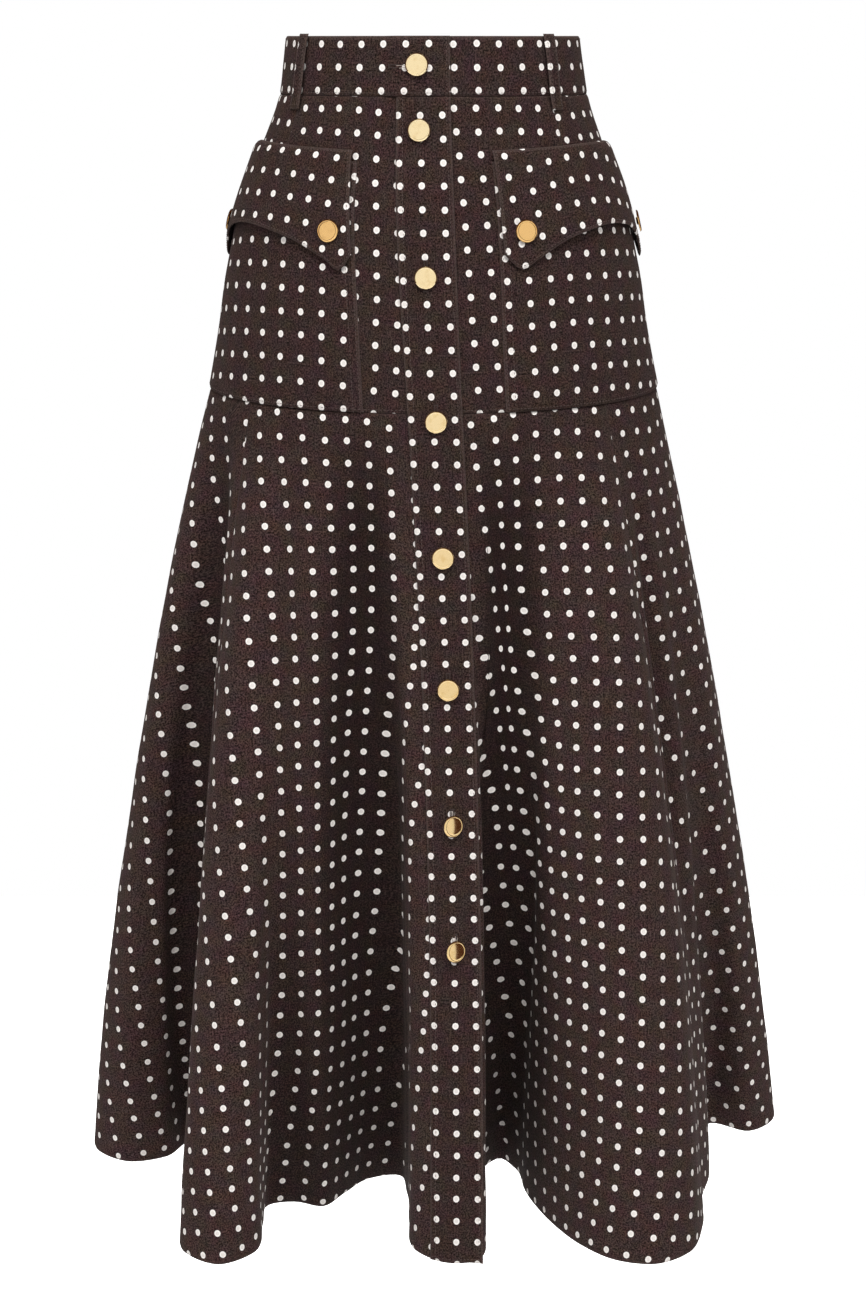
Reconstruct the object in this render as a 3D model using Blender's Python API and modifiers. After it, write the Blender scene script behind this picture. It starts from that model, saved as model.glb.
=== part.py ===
"""A cargo midi skirt, filled out as it is when worn, with its hollow left open.

The frame: +Z is up, the front faces -Y, and +X is on the right of someone who looks at the front.
The origin is the centre of the waist, halfway up the waistband. "Left" and "right" in the names
are those of someone who looks at the front. Lengths in the tables are centimetres.

The skirt is a contour waistband, a fitted yoke of six pieces, and a flared lower skirt of six
panels that falls in deep folds. A buttoned placket runs from the waistband to the hem, and a
patch pocket with a two-pointed flap sits on each side of the yoke.
"""

import math
from collections import namedtuple

import bmesh
import bpy
import numpy as np
from mathutils import Matrix, Vector

CM = 0.01
MM = 0.001

# Driving dimensions
BAND_TOP = 2.25 * CM
BAND_BOTTOM = -2.25 * CM
HIP_SEAM_SIDE = -25.7 * CM
HIP_SEAM_DIP = 0.7 * CM
HEM = -94.5 * CM
FOLD_MIDDLE = -57.0 * CM

CLOTH = 1.5 * MM
BAND_CLOTH = 2.0 * MM
FLAP_CLOTH = 2.0 * MM
SEAM_GAP = 0.3 * MM

PLACKET_LIP = 10.5 * MM
BUTTON_RADIUS = 9.0 * MM
BUTTON_THICKNESS = 3.2 * MM
BUTTON_RIM = 1.4 * MM
BUTTON_SEAT = 0.5 * MM
PLACKET_FALL = 1.4 * MM
POCKET_FULLNESS = 1.2 * MM
FLAP_EASE = 0.5 * MM
FLAP_LIFT = 4.0 * MM
LOOP_WIDTH = 11.0 * MM
LOOP_CLOTH = 1.6 * MM
LOOP_STAND = 1.6 * MM

# How finely the cloth is divided. The yoke's rows are shares of its height, and a pocket's top
# edge lies on the row POCKET_TOP_ROW.
COLUMN_STEP = 3.0 * CM
YOKE_ROW_SHARES = (0.0, 0.09, 0.205, 0.33, 0.46, 0.60, 0.74, 0.87, 1.0)
POCKET_TOP_ROW = 2
SKIRT_ROWS = 12
BAND_ROWS = 2
TANGENT_STEP = 0.002
SHARP_DEG = 40.0
BUTTON_STEPS = 16

# The body section at one height: half its width, its depth in front of the centre and behind it.
Section = namedtuple("Section", "z half_width front back")
SECTIONS = [
    Section(2.25, 11.70, 8.9, 8.6),
    Section(0.0, 12.00, 9.1, 8.9),
    Section(-2.25, 12.35, 9.3, 9.2),
    Section(-6.5, 13.85, 9.9, 10.2),
    Section(-11.0, 15.45, 10.8, 11.6),
    Section(-16.0, 16.55, 11.4, 12.6),
    Section(-21.0, 17.35, 11.8, 13.0),
    Section(-26.4, 18.45, 12.1, 13.2),
    Section(-30.0, 19.30, 12.3, 13.4),
]

# One line of the lower skirt from the hip seam to the hem: where it starts round the hip
# (0 is the front, 90 the right side), and where it is at FOLD_MIDDLE and at the hem.
Fold = namedtuple("Fold", "name hip_deg mid_x mid_y hem_x hem_y")
FOLDS = [
    Fold("back_dip_3", -158.0, -9.4, 14.9, -11.2, 14.6),
    Fold("back_fold_4", -149.0, -13.4, 15.1, -16.0, 19.8),
    Fold("back_fold_4_lee", -141.0, -16.8, 14.2, -19.8, 19.2),
    Fold("back_dip_4", -132.0, -19.6, 12.2, -23.4, 12.6),
    Fold("back_fold_5", -119.0, -23.0, 9.8, -27.9, 14.0),
    Fold("side_left_back", -100.0, -25.0, 5.0, -30.2, 7.0),
    Fold("side_left_edge", -89.0, -25.2, 0.6, -30.0, 0.9),
    Fold("side_left_crest", -81.0, -24.0, -1.9, -26.8, -1.5),
    Fold("side_left_inside", -75.0, -22.3, -2.8, -23.6, -0.4),
    Fold("side_left_root", -70.0, -20.8, -3.2, -21.6, 2.8),
    Fold("valley_side_left", -65.0, -19.4, -4.2, -19.9, 2.2),
    Fold("fold_left_back", -59.0, -18.6, -6.4, -20.4, -6.0),
    Fold("fold_left_outside", -53.0, -18.4, -9.0, -20.8, -13.5),
    Fold("fold_left_edge", -50.0, -17.8, -11.2, -20.5, -18.4),
    Fold("fold_left_crest", -46.5, -16.2, -12.9, -17.3, -20.7),
    Fold("fold_left_lip", -43.5, -14.4, -13.1, -14.6, -18.6),
    Fold("fold_left_inside", -40.5, -13.2, -12.6, -14.2, -13.8),
    Fold("fold_left_root", -37.5, -12.3, -12.4, -13.7, -9.9),
    Fold("inner_dip", -34.0, -11.3, -12.7, -11.8, -9.5),
    Fold("inner_crest", -30.0, -9.8, -13.1, -9.4, -10.3),
    Fold("inner_slope", -25.5, -7.9, -12.8, -7.6, -7.8),
    Fold("valley_left_rise", -21.0, -5.8, -12.2, -5.5, -4.9),
    Fold("valley_left", -17.0, -3.9, -11.9, -3.1, -4.2),
    Fold("left_flank_deep", -14.0, -2.9, -12.3, -2.2, -8.0),
    Fold("left_flank", -11.5, -2.3, -13.2, -2.05, -13.5),
    Fold("left_shoulder", -9.0, -1.6, -14.0, -1.5, -18.3),
    Fold("placket_left", -6.1, -0.55, -14.3, -0.2, -19.7),
    Fold("underlap_right", 3.8, 2.5, -14.35, 3.0, -20.3),
    Fold("right_corner", 6.2, 3.4, -13.9, 3.95, -19.6),
    Fold("right_flank", 8.5, 3.75, -13.2, 4.25, -16.0),
    Fold("right_flank_deep", 11.0, 4.2, -12.6, 4.2, -9.0),
    Fold("slit_valley", 14.0, 5.0, -12.3, 4.7, -2.4),
    Fold("slit_valley_floor", 17.5, 6.2, -12.2, 5.9, -0.9),
    Fold("slit_valley_rise", 21.5, 7.6, -11.9, 7.1, -2.8),
    Fold("fold_right_root", 25.0, 8.5, -12.1, 7.9, -7.5),
    Fold("fold_right_slope", 29.0, 10.0, -12.7, 9.6, -12.6),
    Fold("fold_right_rise", 33.0, 12.2, -13.1, 12.1, -17.2),
    Fold("fold_right_lip", 37.0, 14.6, -13.2, 15.0, -20.0),
    Fold("fold_right_crest", 40.5, 16.6, -12.8, 18.2, -20.6),
    Fold("fold_right_edge", 43.5, 18.2, -11.5, 21.1, -18.6),
    Fold("fold_right_outside", 46.0, 18.9, -9.4, 22.6, -14.0),
    Fold("fold_right_back", 48.6, 19.1, -7.4, 23.1, -8.5),
    Fold("ridge_right", 54.0, 20.2, -5.9, 24.1, -4.6),
    Fold("ridge_right_back", 60.0, 20.9, -4.4, 24.4, -0.5),
    Fold("valley_side_right", 66.0, 21.4, -2.6, 24.0, 4.5),
    Fold("side_right_root", 72.0, 22.4, -1.4, 25.4, 6.6),
    Fold("side_right_crest", 79.0, 24.0, -0.2, 28.6, 4.9),
    Fold("side_right_edge", 87.0, 25.2, 2.4, 31.2, 7.4),
    Fold("side_right_back", 97.0, 25.2, 6.4, 30.9, 12.6),
    Fold("back_fold_1", 108.0, 23.6, 9.6, 28.6, 17.0),
    Fold("back_fold_1_lee", 117.0, 21.4, 11.8, 25.2, 17.4),
    Fold("back_dip_1", 127.0, 18.2, 13.1, 20.6, 12.2),
    Fold("back_fold_2", 139.0, 13.9, 15.1, 15.6, 20.4),
    Fold("back_fold_2_lee", 147.0, 10.6, 15.8, 11.6, 21.4),
    Fold("back_dip_2", 158.0, 6.2, 15.3, 6.6, 15.2),
    Fold("back_dip_2_lee", 167.0, 3.2, 15.4, 3.4, 15.0),
    Fold("back_fold_3", 181.0, -1.2, 16.2, -1.8, 20.8),
    Fold("back_fold_3_lee", 190.0, -5.0, 16.1, -6.0, 21.2),
]

# The lines that run down the yoke: where each crosses the waistband's lower edge and the hip
# seam, how many columns of cloth follow it, and the fold line that goes on from it below.
Line = namedtuple("Line", "name waist_deg hip_deg columns fold share")
YOKE_LINES = [
    Line("seam_back", -183.0, -186.0, 9, "back_dip_2_lee", 0.5),
    Line("pocket_back_left", -106.0, -105.0, 1, None, 0.0),
    Line("seam_side_left", -101.0, -100.0, 6, "side_left_back", 0.0),
    Line("seam_front_left", -58.0, -53.0, 4, "fold_left_outside", 0.0),
    Line("pocket_front_left", -26.5, -17.3, 2, None, 0.0),
    Line("placket_left", -13.0, -6.1, 3, "placket_left", 0.0),
    Line("seam_underlap", 1.2, 3.8, 2, "underlap_right", 0.0),
    Line("pocket_front_right", 19.2, 18.1, 4, None, 0.0),
    Line("seam_front_right", 48.6, 48.6, 6, "fold_right_back", 0.0),
    Line("seam_side_right", 95.0, 97.0, 1, "side_right_back", 0.0),
    Line("pocket_back_right", 100.0, 101.0, 9, None, 0.0),
    Line("seam_back", 177.0, 174.0, 0, "back_dip_2_lee", 0.5),
]

# A pocket lies between two of the yoke's lines.
POCKET_LINES = {
    "left": ("pocket_back_left", "pocket_front_left"),
    "right": ("pocket_front_right", "pocket_back_right"),
}

# Each panel is named after its place, and lies between two seams, from left to right.
PANELS = {
    "back_left": ("seam_back", "seam_side_left"),
    "side_left": ("seam_side_left", "seam_front_left"),
    "front_left": ("seam_front_left", "placket_left"),
    "front_right": ("seam_underlap", "seam_front_right"),
    "side_right": ("seam_front_right", "seam_side_right"),
    "back_right": ("seam_side_right", "seam_back"),
}

# A flap, from its front edge to its back edge: the share of its width on each side of the skirt,
# and the heights of its upper and lower edges.
FlapCut = namedtuple("FlapCut", "left right top bottom")
FLAP_CUT = [
    FlapCut(0.0, 0.0, -6.35, -14.2),
    FlapCut(0.03, 0.055, -6.32, -15.3),
    FlapCut(0.10, 0.13, -6.28, -14.6),
    FlapCut(0.22, 0.24, -6.2, -13.4),
    FlapCut(0.37, 0.38, -6.1, -12.6),
    FlapCut(0.5, 0.5, -6.0, -12.25),
    FlapCut(0.62, 0.62, -5.95, -12.35),
    FlapCut(0.76, 0.76, -5.9, -13.0),
    FlapCut(0.87, 0.87, -5.95, -14.2),
    FlapCut(0.945, 0.945, -6.0, -15.2),
    FlapCut(1.0, 1.0, -6.05, -14.0),
]
# A flap's front edge, at its upper and lower end, and its back edge.
FlapEdge = namedtuple("FlapEdge", "front_top_deg front_bottom_deg back_deg")
FLAP_EDGE = {"left": FlapEdge(-26.6, -22.6, -101.0), "right": FlapEdge(19.3, 19.6, 95.0)}
FLAP_RAMP = 0.8 * CM
FLAP_ROW_SHARES = (0.0, 0.06, 0.14, 0.32, 0.55, 0.78, 1.0)
FLAP_BUTTON_SHARE = {"left": 0.078, "right": 0.088}
FLAP_BUTTON_Z = -12.5 * CM

# The front buttons: height, distance from the placket's middle, and how far the button is
# turned about the upright.
FrontButton = namedtuple("FrontButton", "z aside turn_deg")
FRONT_BUTTONS = [
    FrontButton(0.1, -0.45, 0.0),
    FrontButton(-4.8, -0.35, 0.0),
    FrontButton(-15.9, -0.2, 0.0),
    FrontButton(-27.0, 0.0, 0.0),
    FrontButton(-37.7, 0.0, 0.0),
    FrontButton(-48.2, 0.0, 0.0),
    FrontButton(-59.1, 0.0, 32.0),
    FrontButton(-69.2, 0.0, 34.0),
]

# The belt loops, by their angle round the waist.
BELT_LOOPS = {
    "front_left": -58.5,
    "front_right": 50.0,
    "back_left": -126.0,
    "back_right": 118.0,
    "back": 177.0,
}
LOOP_TOP = 2.4 * CM
LOOP_BOTTOM = -3.35 * CM
LOOP_ROWS = 6
LOOP_SEAT = 0.7 * MM

# The waistband's lap. Its lower end starts just right of the placket's left seam. The upper layer
# climbs over LAP_RAMP_DEG, is clear of the lower end by LAP_CLEAR_DEG, and ends at LAP_END_DEG.
FULL_TURN = 360.0
LAP_START_DEG = 1.0
LAP_RAMP_DEG = 6.5
LAP_CLEAR_DEG = 0.8
LAP_MIDDLE_DEG = -3.7
LAP_END_DEG = 6.1
BAND_COLUMNS = 48
LAP_COLUMNS = 9

# Finishes: colour, roughness, metallic.
Finish = namedtuple("Finish", "name color roughness metallic")
PRINTED_CLOTH = Finish("printed_cloth", (0.040, 0.026, 0.023), 0.85, 0.0)
PLACKET_CLOTH = Finish("placket_cloth", (0.044, 0.029, 0.025), 0.85, 0.0)
BRASS = Finish("button_brass", (0.80, 0.55, 0.24), 0.30, 1.0)


def smooth_through(knots, values, at):
    """Values of a smooth curve that passes through each row of values at its knot."""
    slopes = np.gradient(values, knots, axis=0)
    left = np.clip(np.searchsorted(knots, at, side="right") - 1, 0, len(knots) - 2)
    width = knots[left + 1] - knots[left]
    share = ((at - knots[left]) / width)[..., None]
    width = width[..., None]
    square = share * share
    cube = square * share
    return (
        (2 * cube - 3 * square + 1) * values[left]
        + (cube - 2 * square + share) * width * slopes[left]
        + (3 * square - 2 * cube) * values[left + 1]
        + (cube - square) * width * slopes[left + 1]
    )


def unit(vectors):
    """The vectors at length one."""
    return vectors / np.linalg.norm(vectors, axis=-1, keepdims=True)


SECTION_Z = np.array([row.z for row in SECTIONS[::-1]]) * CM
SECTION_SIZES = np.array([row[1:] for row in SECTIONS[::-1]]) * CM


def body_point(degrees, z):
    """The body's surface at an angle round it, from the front, and a height."""
    degrees, z = np.broadcast_arrays(np.asarray(degrees, float), np.asarray(z, float))
    half_width, front, back = np.moveaxis(smooth_through(SECTION_Z, SECTION_SIZES, z), -1, 0)
    angle = np.radians(degrees)
    depth = np.where(np.cos(angle) > 0, front, back)
    return np.stack([half_width * np.sin(angle), -depth * np.cos(angle), z], axis=-1)


def body_normal(degrees, z):
    """The body's outward direction there."""
    turn = body_point(degrees + 0.5, z) - body_point(degrees - 0.5, z)
    drop = body_point(degrees, z - MM) - body_point(degrees, z + MM)
    return unit(np.cross(drop, turn))


def hip_seam_height(degrees):
    """The seam between yoke and lower skirt dips a little at the front."""
    return HIP_SEAM_SIDE - HIP_SEAM_DIP * np.maximum(np.cos(np.radians(degrees)), 0.0)


class LowerSkirt:
    """The flared lower skirt as a closed surface round the body, worked out from the fold lines."""

    def __init__(self):
        """Lays the fold lines out round the hem three times over, so that the curve closes."""
        hem = np.array([(fold.hem_x, fold.hem_y) for fold in FOLDS]) * CM
        middle = np.array([(fold.mid_x, fold.mid_y) for fold in FOLDS]) * CM
        hip = np.array([[fold.hip_deg] for fold in FOLDS])
        steps = np.linalg.norm(np.roll(hem, -1, axis=0) - hem, axis=1)
        knots = np.concatenate([[0.0], np.cumsum(steps)[:-1]])
        self.length = steps.sum()
        self.knots = np.concatenate([knots - self.length, knots, knots + self.length])
        self.hip = np.concatenate([hip - 360.0, hip, hip + 360.0])
        self.middle = np.tile(middle, (3, 1))
        self.hem = np.tile(hem, (3, 1))
        self.at = {fold.name: knot for fold, knot in zip(FOLDS, knots)}

    def seam_at(self, line):
        """Where a line of the yoke goes on, as a distance along the hem."""
        start = self.at[line.fold]
        after = self.knots[self.knots > start + MM].min()
        return start + (after - start) * line.share

    def point(self, along, share):
        """The surface at a distance along the hem and a share of the way down from the hip seam."""
        along, share = np.broadcast_arrays(np.asarray(along, float), np.asarray(share, float))
        degrees = smooth_through(self.knots, self.hip, along)[..., 0]
        seam_z = hip_seam_height(degrees)
        half_way = (FOLD_MIDDLE - seam_z) / (HEM - seam_z)
        from_hip = (share - half_way) * (share - 1) / half_way
        from_middle = share * (1 - share) / (half_way * (1 - half_way))
        from_hem = share * (share - half_way) / (1 - half_way)
        flat = (
            from_hip[..., None] * body_point(degrees, seam_z)[..., :2]
            + from_middle[..., None] * smooth_through(self.knots, self.middle, along)
            + from_hem[..., None] * smooth_through(self.knots, self.hem, along)
        )
        z = seam_z + (HEM - seam_z) * share
        return np.concatenate([flat, z[..., None]], axis=-1)

    def normal(self, along, share):
        """The outward direction there."""
        turn = self.point(along + MM, share) - self.point(along - MM, share)
        drop = self.point(along, share + TANGENT_STEP) - self.point(along, share - TANGENT_STEP)
        return unit(np.cross(drop, turn))

    def columns(self, start, end):
        """Distances along the hem from start to end: each fold line, and steps between them."""
        stops = [start, *[knot for knot in self.knots if start + MM < knot < end - MM], end]
        columns = [start]
        for first, second in zip(stops, stops[1:]):
            parts = max(1, math.ceil((second - first) / COLUMN_STEP - 0.2))
            columns += [first + (second - first) * part / parts for part in range(1, parts + 1)]
        return np.array(columns)


SKIRT = LowerSkirt()


def make_material(finish):
    """A plain Principled material with the finish's colour, roughness and metallic value."""
    material = bpy.data.materials.new(finish.name)
    material.use_nodes = True
    shader = material.node_tree.nodes["Principled BSDF"]
    shader.inputs["Base Color"].default_value = (*finish.color, 1.0)
    shader.inputs["Roughness"].default_value = finish.roughness
    shader.inputs["Metallic"].default_value = finish.metallic
    material.diffuse_color = (*finish.color, 1.0)
    return material


def link(name, mesh, finish):
    """A new object of the skirt, with a material of its own."""
    obj = bpy.data.objects.new(name, mesh)
    bpy.data.collections["cargo_midi_skirt"].objects.link(obj)
    material = make_material(finish)
    material.name = name + "_" + finish.name
    mesh.materials.clear()
    mesh.materials.append(material)
    return obj


def cloth_piece(name, outer, normals, thickness, finish=PRINTED_CLOTH):
    """A piece of cloth from its outer face, rows downwards and columns from left to right.

    The inner face is drawn in along the normals, which pieces that meet at a seam share, so that
    the seam's gap is as wide inside as outside.
    """
    rows, columns = outer.shape[:2]
    shape = bmesh.new()
    faces = [outer, outer - normals * thickness]
    front, back = ([[shape.verts.new(point) for point in row] for row in face] for face in faces)
    for row in range(rows - 1):
        for column in range(columns - 1):
            corners = ((row, column), (row + 1, column), (row + 1, column + 1), (row, column + 1))
            shape.faces.new([front[i][j] for i, j in corners])
            shape.faces.new([back[i][j] for i, j in reversed(corners)])
    rim = [(0, column) for column in range(columns)]
    rim += [(row, columns - 1) for row in range(1, rows)]
    rim += [(rows - 1, column) for column in range(columns - 2, -1, -1)]
    rim += [(row, 0) for row in range(rows - 2, -1, -1)]
    for (i, j), (next_i, next_j) in zip(rim, rim[1:]):
        shape.faces.new((front[i][j], front[next_i][next_j], back[next_i][next_j], back[i][j]))
    mesh = bpy.data.meshes.new(name)
    shape.to_mesh(mesh)
    shape.free()
    mesh.shade_smooth()
    mesh.set_sharp_from_angle(angle=math.radians(SHARP_DEG))
    return link(name, mesh, finish)


def trim_sides(grid):
    """Draws the first and last column in by half a seam gap."""
    trimmed = grid.copy()
    for edge, inner in ((0, 1), (-1, -2)):
        trimmed[:, edge] += unit(grid[:, inner] - grid[:, edge]) * (SEAM_GAP / 2)
    return trimmed


def line_index(name, last=False):
    """The place of a line in YOKE_LINES; the back seam stands at both ends."""
    places = [index for index, line in enumerate(YOKE_LINES) if line.name == name]
    return places[-1] if last else places[0]


def yoke_grid(from_name, to_name):
    """The yoke between two of its lines: its outer face and normals."""
    first = line_index(from_name)
    last = line_index(to_name, last=True)
    degrees = [(YOKE_LINES[first].waist_deg, YOKE_LINES[first].hip_deg)]
    for line, after in zip(YOKE_LINES[first:last], YOKE_LINES[first + 1 : last + 1]):
        for column in range(1, line.columns + 1):
            share = column / line.columns
            waist = line.waist_deg + (after.waist_deg - line.waist_deg) * share
            degrees.append((waist, line.hip_deg + (after.hip_deg - line.hip_deg) * share))
    waist, hip = np.array(degrees).T[:, None, :]
    down = np.array(YOKE_ROW_SHARES)[:, None]
    turned = waist + (hip - waist) * down
    top = BAND_BOTTOM - SEAM_GAP
    z = top + (hip_seam_height(hip) + SEAM_GAP / 2 - top) * down
    return body_point(turned, z), body_normal(turned, z)


def skirt_grid(from_name, to_name, columns=None):
    """The lower skirt between two lines, from just below the hip seam: outer face and normals."""
    start = SKIRT.seam_at(YOKE_LINES[line_index(from_name)])
    end = SKIRT.seam_at(YOKE_LINES[line_index(to_name, last=True)])
    if from_name == "seam_back":
        start -= SKIRT.length
    along = SKIRT.columns(start, end) if columns is None else np.linspace(start, end, columns + 1)
    down = np.linspace(0.0, 1.0, SKIRT_ROWS + 1)[:, None] + np.zeros_like(along)
    grid = SKIRT.point(along, down)
    grid[0, :, 2] -= SEAM_GAP / 2
    return grid, SKIRT.normal(along, down)


def build_panels():
    """The yoke pieces and the lower skirt's panels."""
    for place, (from_name, to_name) in PANELS.items():
        outer, normals = yoke_grid(from_name, to_name)
        cloth_piece("yoke_" + place, trim_sides(outer), normals, CLOTH)
        outer, normals = skirt_grid(from_name, to_name)
        cloth_piece("skirt_" + place, trim_sides(outer), normals, CLOTH)


def placket_base():
    """The underlap's outer face and normals, in one strip from the waistband to the hem."""
    columns = YOKE_LINES[line_index("placket_left")].columns
    yoke = yoke_grid("placket_left", "seam_underlap")
    skirt = skirt_grid("placket_left", "seam_underlap", columns)
    return [np.concatenate([upper[:-1], lower]) for upper, lower in zip(yoke, skirt)]


def placket_over():
    """The overlap's outer face and normals: the underlap's, with a lip beyond its right seam."""
    base, normals = placket_base()
    lip = base[:, -1] + unit(base[:, -1] - base[:, 0]) * PLACKET_LIP
    base = np.concatenate([base, lip[:, None]], axis=1)
    normals = np.concatenate([normals[:, :-1], normals[:, -2:-1], normals[:, -2:-1]], axis=1)
    return base + normals * (SEAM_GAP + CLOTH), normals


def build_placket():
    """The two buttoned layers down the front."""
    outer, normals = placket_base()
    cloth_piece("placket_underlap", trim_sides(outer), normals, CLOTH)
    outer, normals = placket_over()
    cloth_piece("placket_overlap", outer, normals, CLOTH, PLACKET_CLOTH)


def build_waistband():
    """One strip round the waist, whose left end laps over its right end under the top button."""
    start = YOKE_LINES[line_index("placket_left")].waist_deg
    lap_from = FULL_TURN + start - LAP_RAMP_DEG
    lap_full = FULL_TURN + start - LAP_CLEAR_DEG
    under = np.linspace(start + LAP_START_DEG, lap_from, BAND_COLUMNS)
    over = np.linspace(lap_from, FULL_TURN + LAP_END_DEG, LAP_COLUMNS)[1:]
    degrees = np.concatenate([under, over])
    climb = np.clip((degrees - lap_from) / (lap_full - lap_from), 0.0, 1.0)
    lift = (BAND_CLOTH + SEAM_GAP) * climb * climb * (3 - 2 * climb)
    heights = np.linspace(BAND_TOP, BAND_BOTTOM + SEAM_GAP / 2, BAND_ROWS + 1)[:, None]
    degrees, heights = np.broadcast_arrays(degrees, heights)
    normals = body_normal(degrees, heights)
    outer = body_point(degrees, heights) + normals * lift[:, None]
    cloth_piece("waistband", outer, normals, BAND_CLOTH)


def pocket_grid(word):
    """A patch pocket's outer face and normals: the yoke's points moved out, most in its middle."""
    outer, normals = (part[POCKET_TOP_ROW:] for part in yoke_grid(*POCKET_LINES[word]))
    rows, columns = outer.shape[:2]
    down = np.sin(math.pi * np.linspace(0.0, 1.0, rows))[:, None]
    across = np.sin(math.pi * np.linspace(0.0, 1.0, columns))
    fullness = POCKET_FULLNESS * np.sqrt(np.clip(down * across, 0.0, 1.0))
    return outer + normals * (SEAM_GAP + CLOTH + fullness)[..., None], normals


def flap_shares(word):
    """The shares of a flap's width at which its cut is given."""
    return np.array([getattr(row, word) for row in FLAP_CUT])


def flap_place(share, down, word):
    """Angle and height on the yoke of a point of a flap."""
    heights = np.array([(row.top, row.bottom) for row in FLAP_CUT]) * CM
    top, bottom = np.moveaxis(smooth_through(flap_shares(word), heights, share), -1, 0)
    edge = FLAP_EDGE[word]
    front = edge.front_top_deg + (edge.front_bottom_deg - edge.front_top_deg) * down
    return front + (edge.back_deg - front) * share, top + (bottom - top) * down


def flap_grid(word, share, down):
    """A flap's outer face and normals: on the yoke at its top, over the pocket, and free below."""
    share, down = np.broadcast_arrays(np.asarray(share, float), np.asarray(down, float))
    degrees, z = flap_place(share, down, word)
    top = flap_place(share, np.zeros_like(down), word)[1]
    ramp = np.clip((top - z) / FLAP_RAMP, 0.0, 1.0)
    over_pocket = CLOTH + SEAM_GAP + POCKET_FULLNESS
    free = np.clip(np.sin(math.pi * share), 0.0, 1.0) * down * down
    lift = SEAM_GAP + FLAP_EASE + FLAP_CLOTH + over_pocket * ramp * (2 - ramp) + FLAP_LIFT * free
    normals = body_normal(degrees, z)
    return body_point(degrees, z) + normals * lift[..., None], normals


def build_pockets():
    """A patch pocket and its flap on each side of the yoke."""
    down = np.array(FLAP_ROW_SHARES)[:, None]
    for word in ("left", "right"):
        cloth_piece("pocket_" + word, *pocket_grid(word), CLOTH)
        outer, normals = flap_grid(word, flap_shares(word), down)
        if word == "left":
            outer, normals = outer[:, ::-1], normals[:, ::-1]
        cloth_piece("flap_" + word, outer, normals, FLAP_CLOTH)


def build_loops():
    """The belt loops, sewn at the waistband's top and just below it, and free in between."""
    down = np.linspace(0.0, 1.0, LOOP_ROWS + 1)[:, None]
    z = LOOP_TOP + (LOOP_BOTTOM - LOOP_TOP) * down
    stand = LOOP_SEAT + LOOP_CLOTH + LOOP_STAND * np.sin(math.pi * down) ** 0.6
    offset = np.array([-LOOP_WIDTH / 2, LOOP_WIDTH / 2])[:, None]
    for place, angle in BELT_LOOPS.items():
        normals = body_normal(angle, z) + np.zeros((2, 1))
        across = unit(np.cross(normals, (0.0, 0.0, -1.0)))
        outer = body_point(angle, z) + normals * stand[..., None] + across * offset
        cloth_piece("belt_loop_" + place, outer, normals, LOOP_CLOTH)


def button_mesh():
    """A turned button: a domed face with a rolled rim on a short shank, its back at z = 0."""
    profile = [
        (0.0, BUTTON_THICKNESS),
        (BUTTON_RADIUS * 0.72, BUTTON_THICKNESS * 0.86),
        (BUTTON_RADIUS * 0.93, BUTTON_THICKNESS * 0.80),
        (BUTTON_RADIUS, BUTTON_THICKNESS * 0.60),
        (BUTTON_RADIUS * 0.95, BUTTON_RIM),
        (BUTTON_RADIUS * 0.36, BUTTON_RIM * 0.8),
        (BUTTON_RADIUS * 0.33, 0.0),
        (0.0, 0.0),
    ]
    shape = bmesh.new()
    points = [shape.verts.new((radius, 0.0, height)) for radius, height in profile]
    for first, second in zip(points, points[1:]):
        shape.edges.new((first, second))
    mesh = bpy.data.meshes.new("button")
    shape.to_mesh(mesh)
    shape.free()
    return mesh


def place_button(name, point, normal, turn_deg=0.0):
    """A button whose back rests on the cloth at a point, facing along the cloth's normal.

    A turned button rests on its rim, where the placket has fallen away beside its middle.
    """
    obj = link(name, button_mesh(), BRASS)
    turned = obj.modifiers.new("turned", "SCREW")
    turned.steps = BUTTON_STEPS
    turned.render_steps = BUTTON_STEPS
    turned.use_merge_vertices = True
    turned.merge_threshold = 0.01 * MM
    turned.use_smooth_shade = True
    outward = Vector(normal).normalized()
    lean = math.radians(turn_deg)
    facing = Matrix.Rotation(lean, 3, "Z") @ outward
    stand = BUTTON_SEAT
    if turn_deg:
        stand += BUTTON_RADIUS * math.sin(lean) - BUTTON_RIM * math.cos(lean) - PLACKET_FALL
    obj.location = Vector(point) + outward * stand
    obj.rotation_euler = facing.to_track_quat("Z", "Y").to_euler()


def placket_place(z, aside):
    """A point on the overlap's outer face at a height, beside its middle column, and the normal."""
    outer, normals = placket_over()
    middle = outer.shape[1] // 2
    order = np.argsort(outer[:, middle, 2])
    rows = np.concatenate([outer[:, middle], normals[:, middle]], axis=1)[order]
    place = np.array([np.interp(z, rows[:, 2], rows[:, axis]) for axis in range(6)])
    point, normal = place[:3], place[3:]
    across = unit(np.cross(normal, (0.0, 0.0, -1.0)))
    return point + across * aside, normal


def waistband_place(z, aside):
    """The same on the waistband's lap."""
    degrees = LAP_MIDDLE_DEG + np.degrees(aside / SECTIONS[1].half_width / CM)
    normal = body_normal(degrees, z)
    return body_point(degrees, z) + normal * (BAND_CLOTH + SEAM_GAP), normal


def build_buttons():
    """Eight buttons down the placket, and two on each flap."""
    for number, button in enumerate(FRONT_BUTTONS, 1):
        on_band = button.z * CM > BAND_BOTTOM
        place = waistband_place if on_band else placket_place
        point, normal = place(button.z * CM, button.aside * CM)
        place_button(f"button_{number}", point, normal, button.turn_deg)
    for word in ("left", "right"):
        for end, share in (("front", FLAP_BUTTON_SHARE[word]), ("back", 1 - FLAP_BUTTON_SHARE[word])):
            top, bottom = flap_place(np.array([share, share]), np.array([0.0, 1.0]), word)[1]
            down = (FLAP_BUTTON_Z - top) / (bottom - top)
            point, normal = flap_grid(word, share, down)
            place_button(f"flap_button_{word}_{end}", point, normal)


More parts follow.
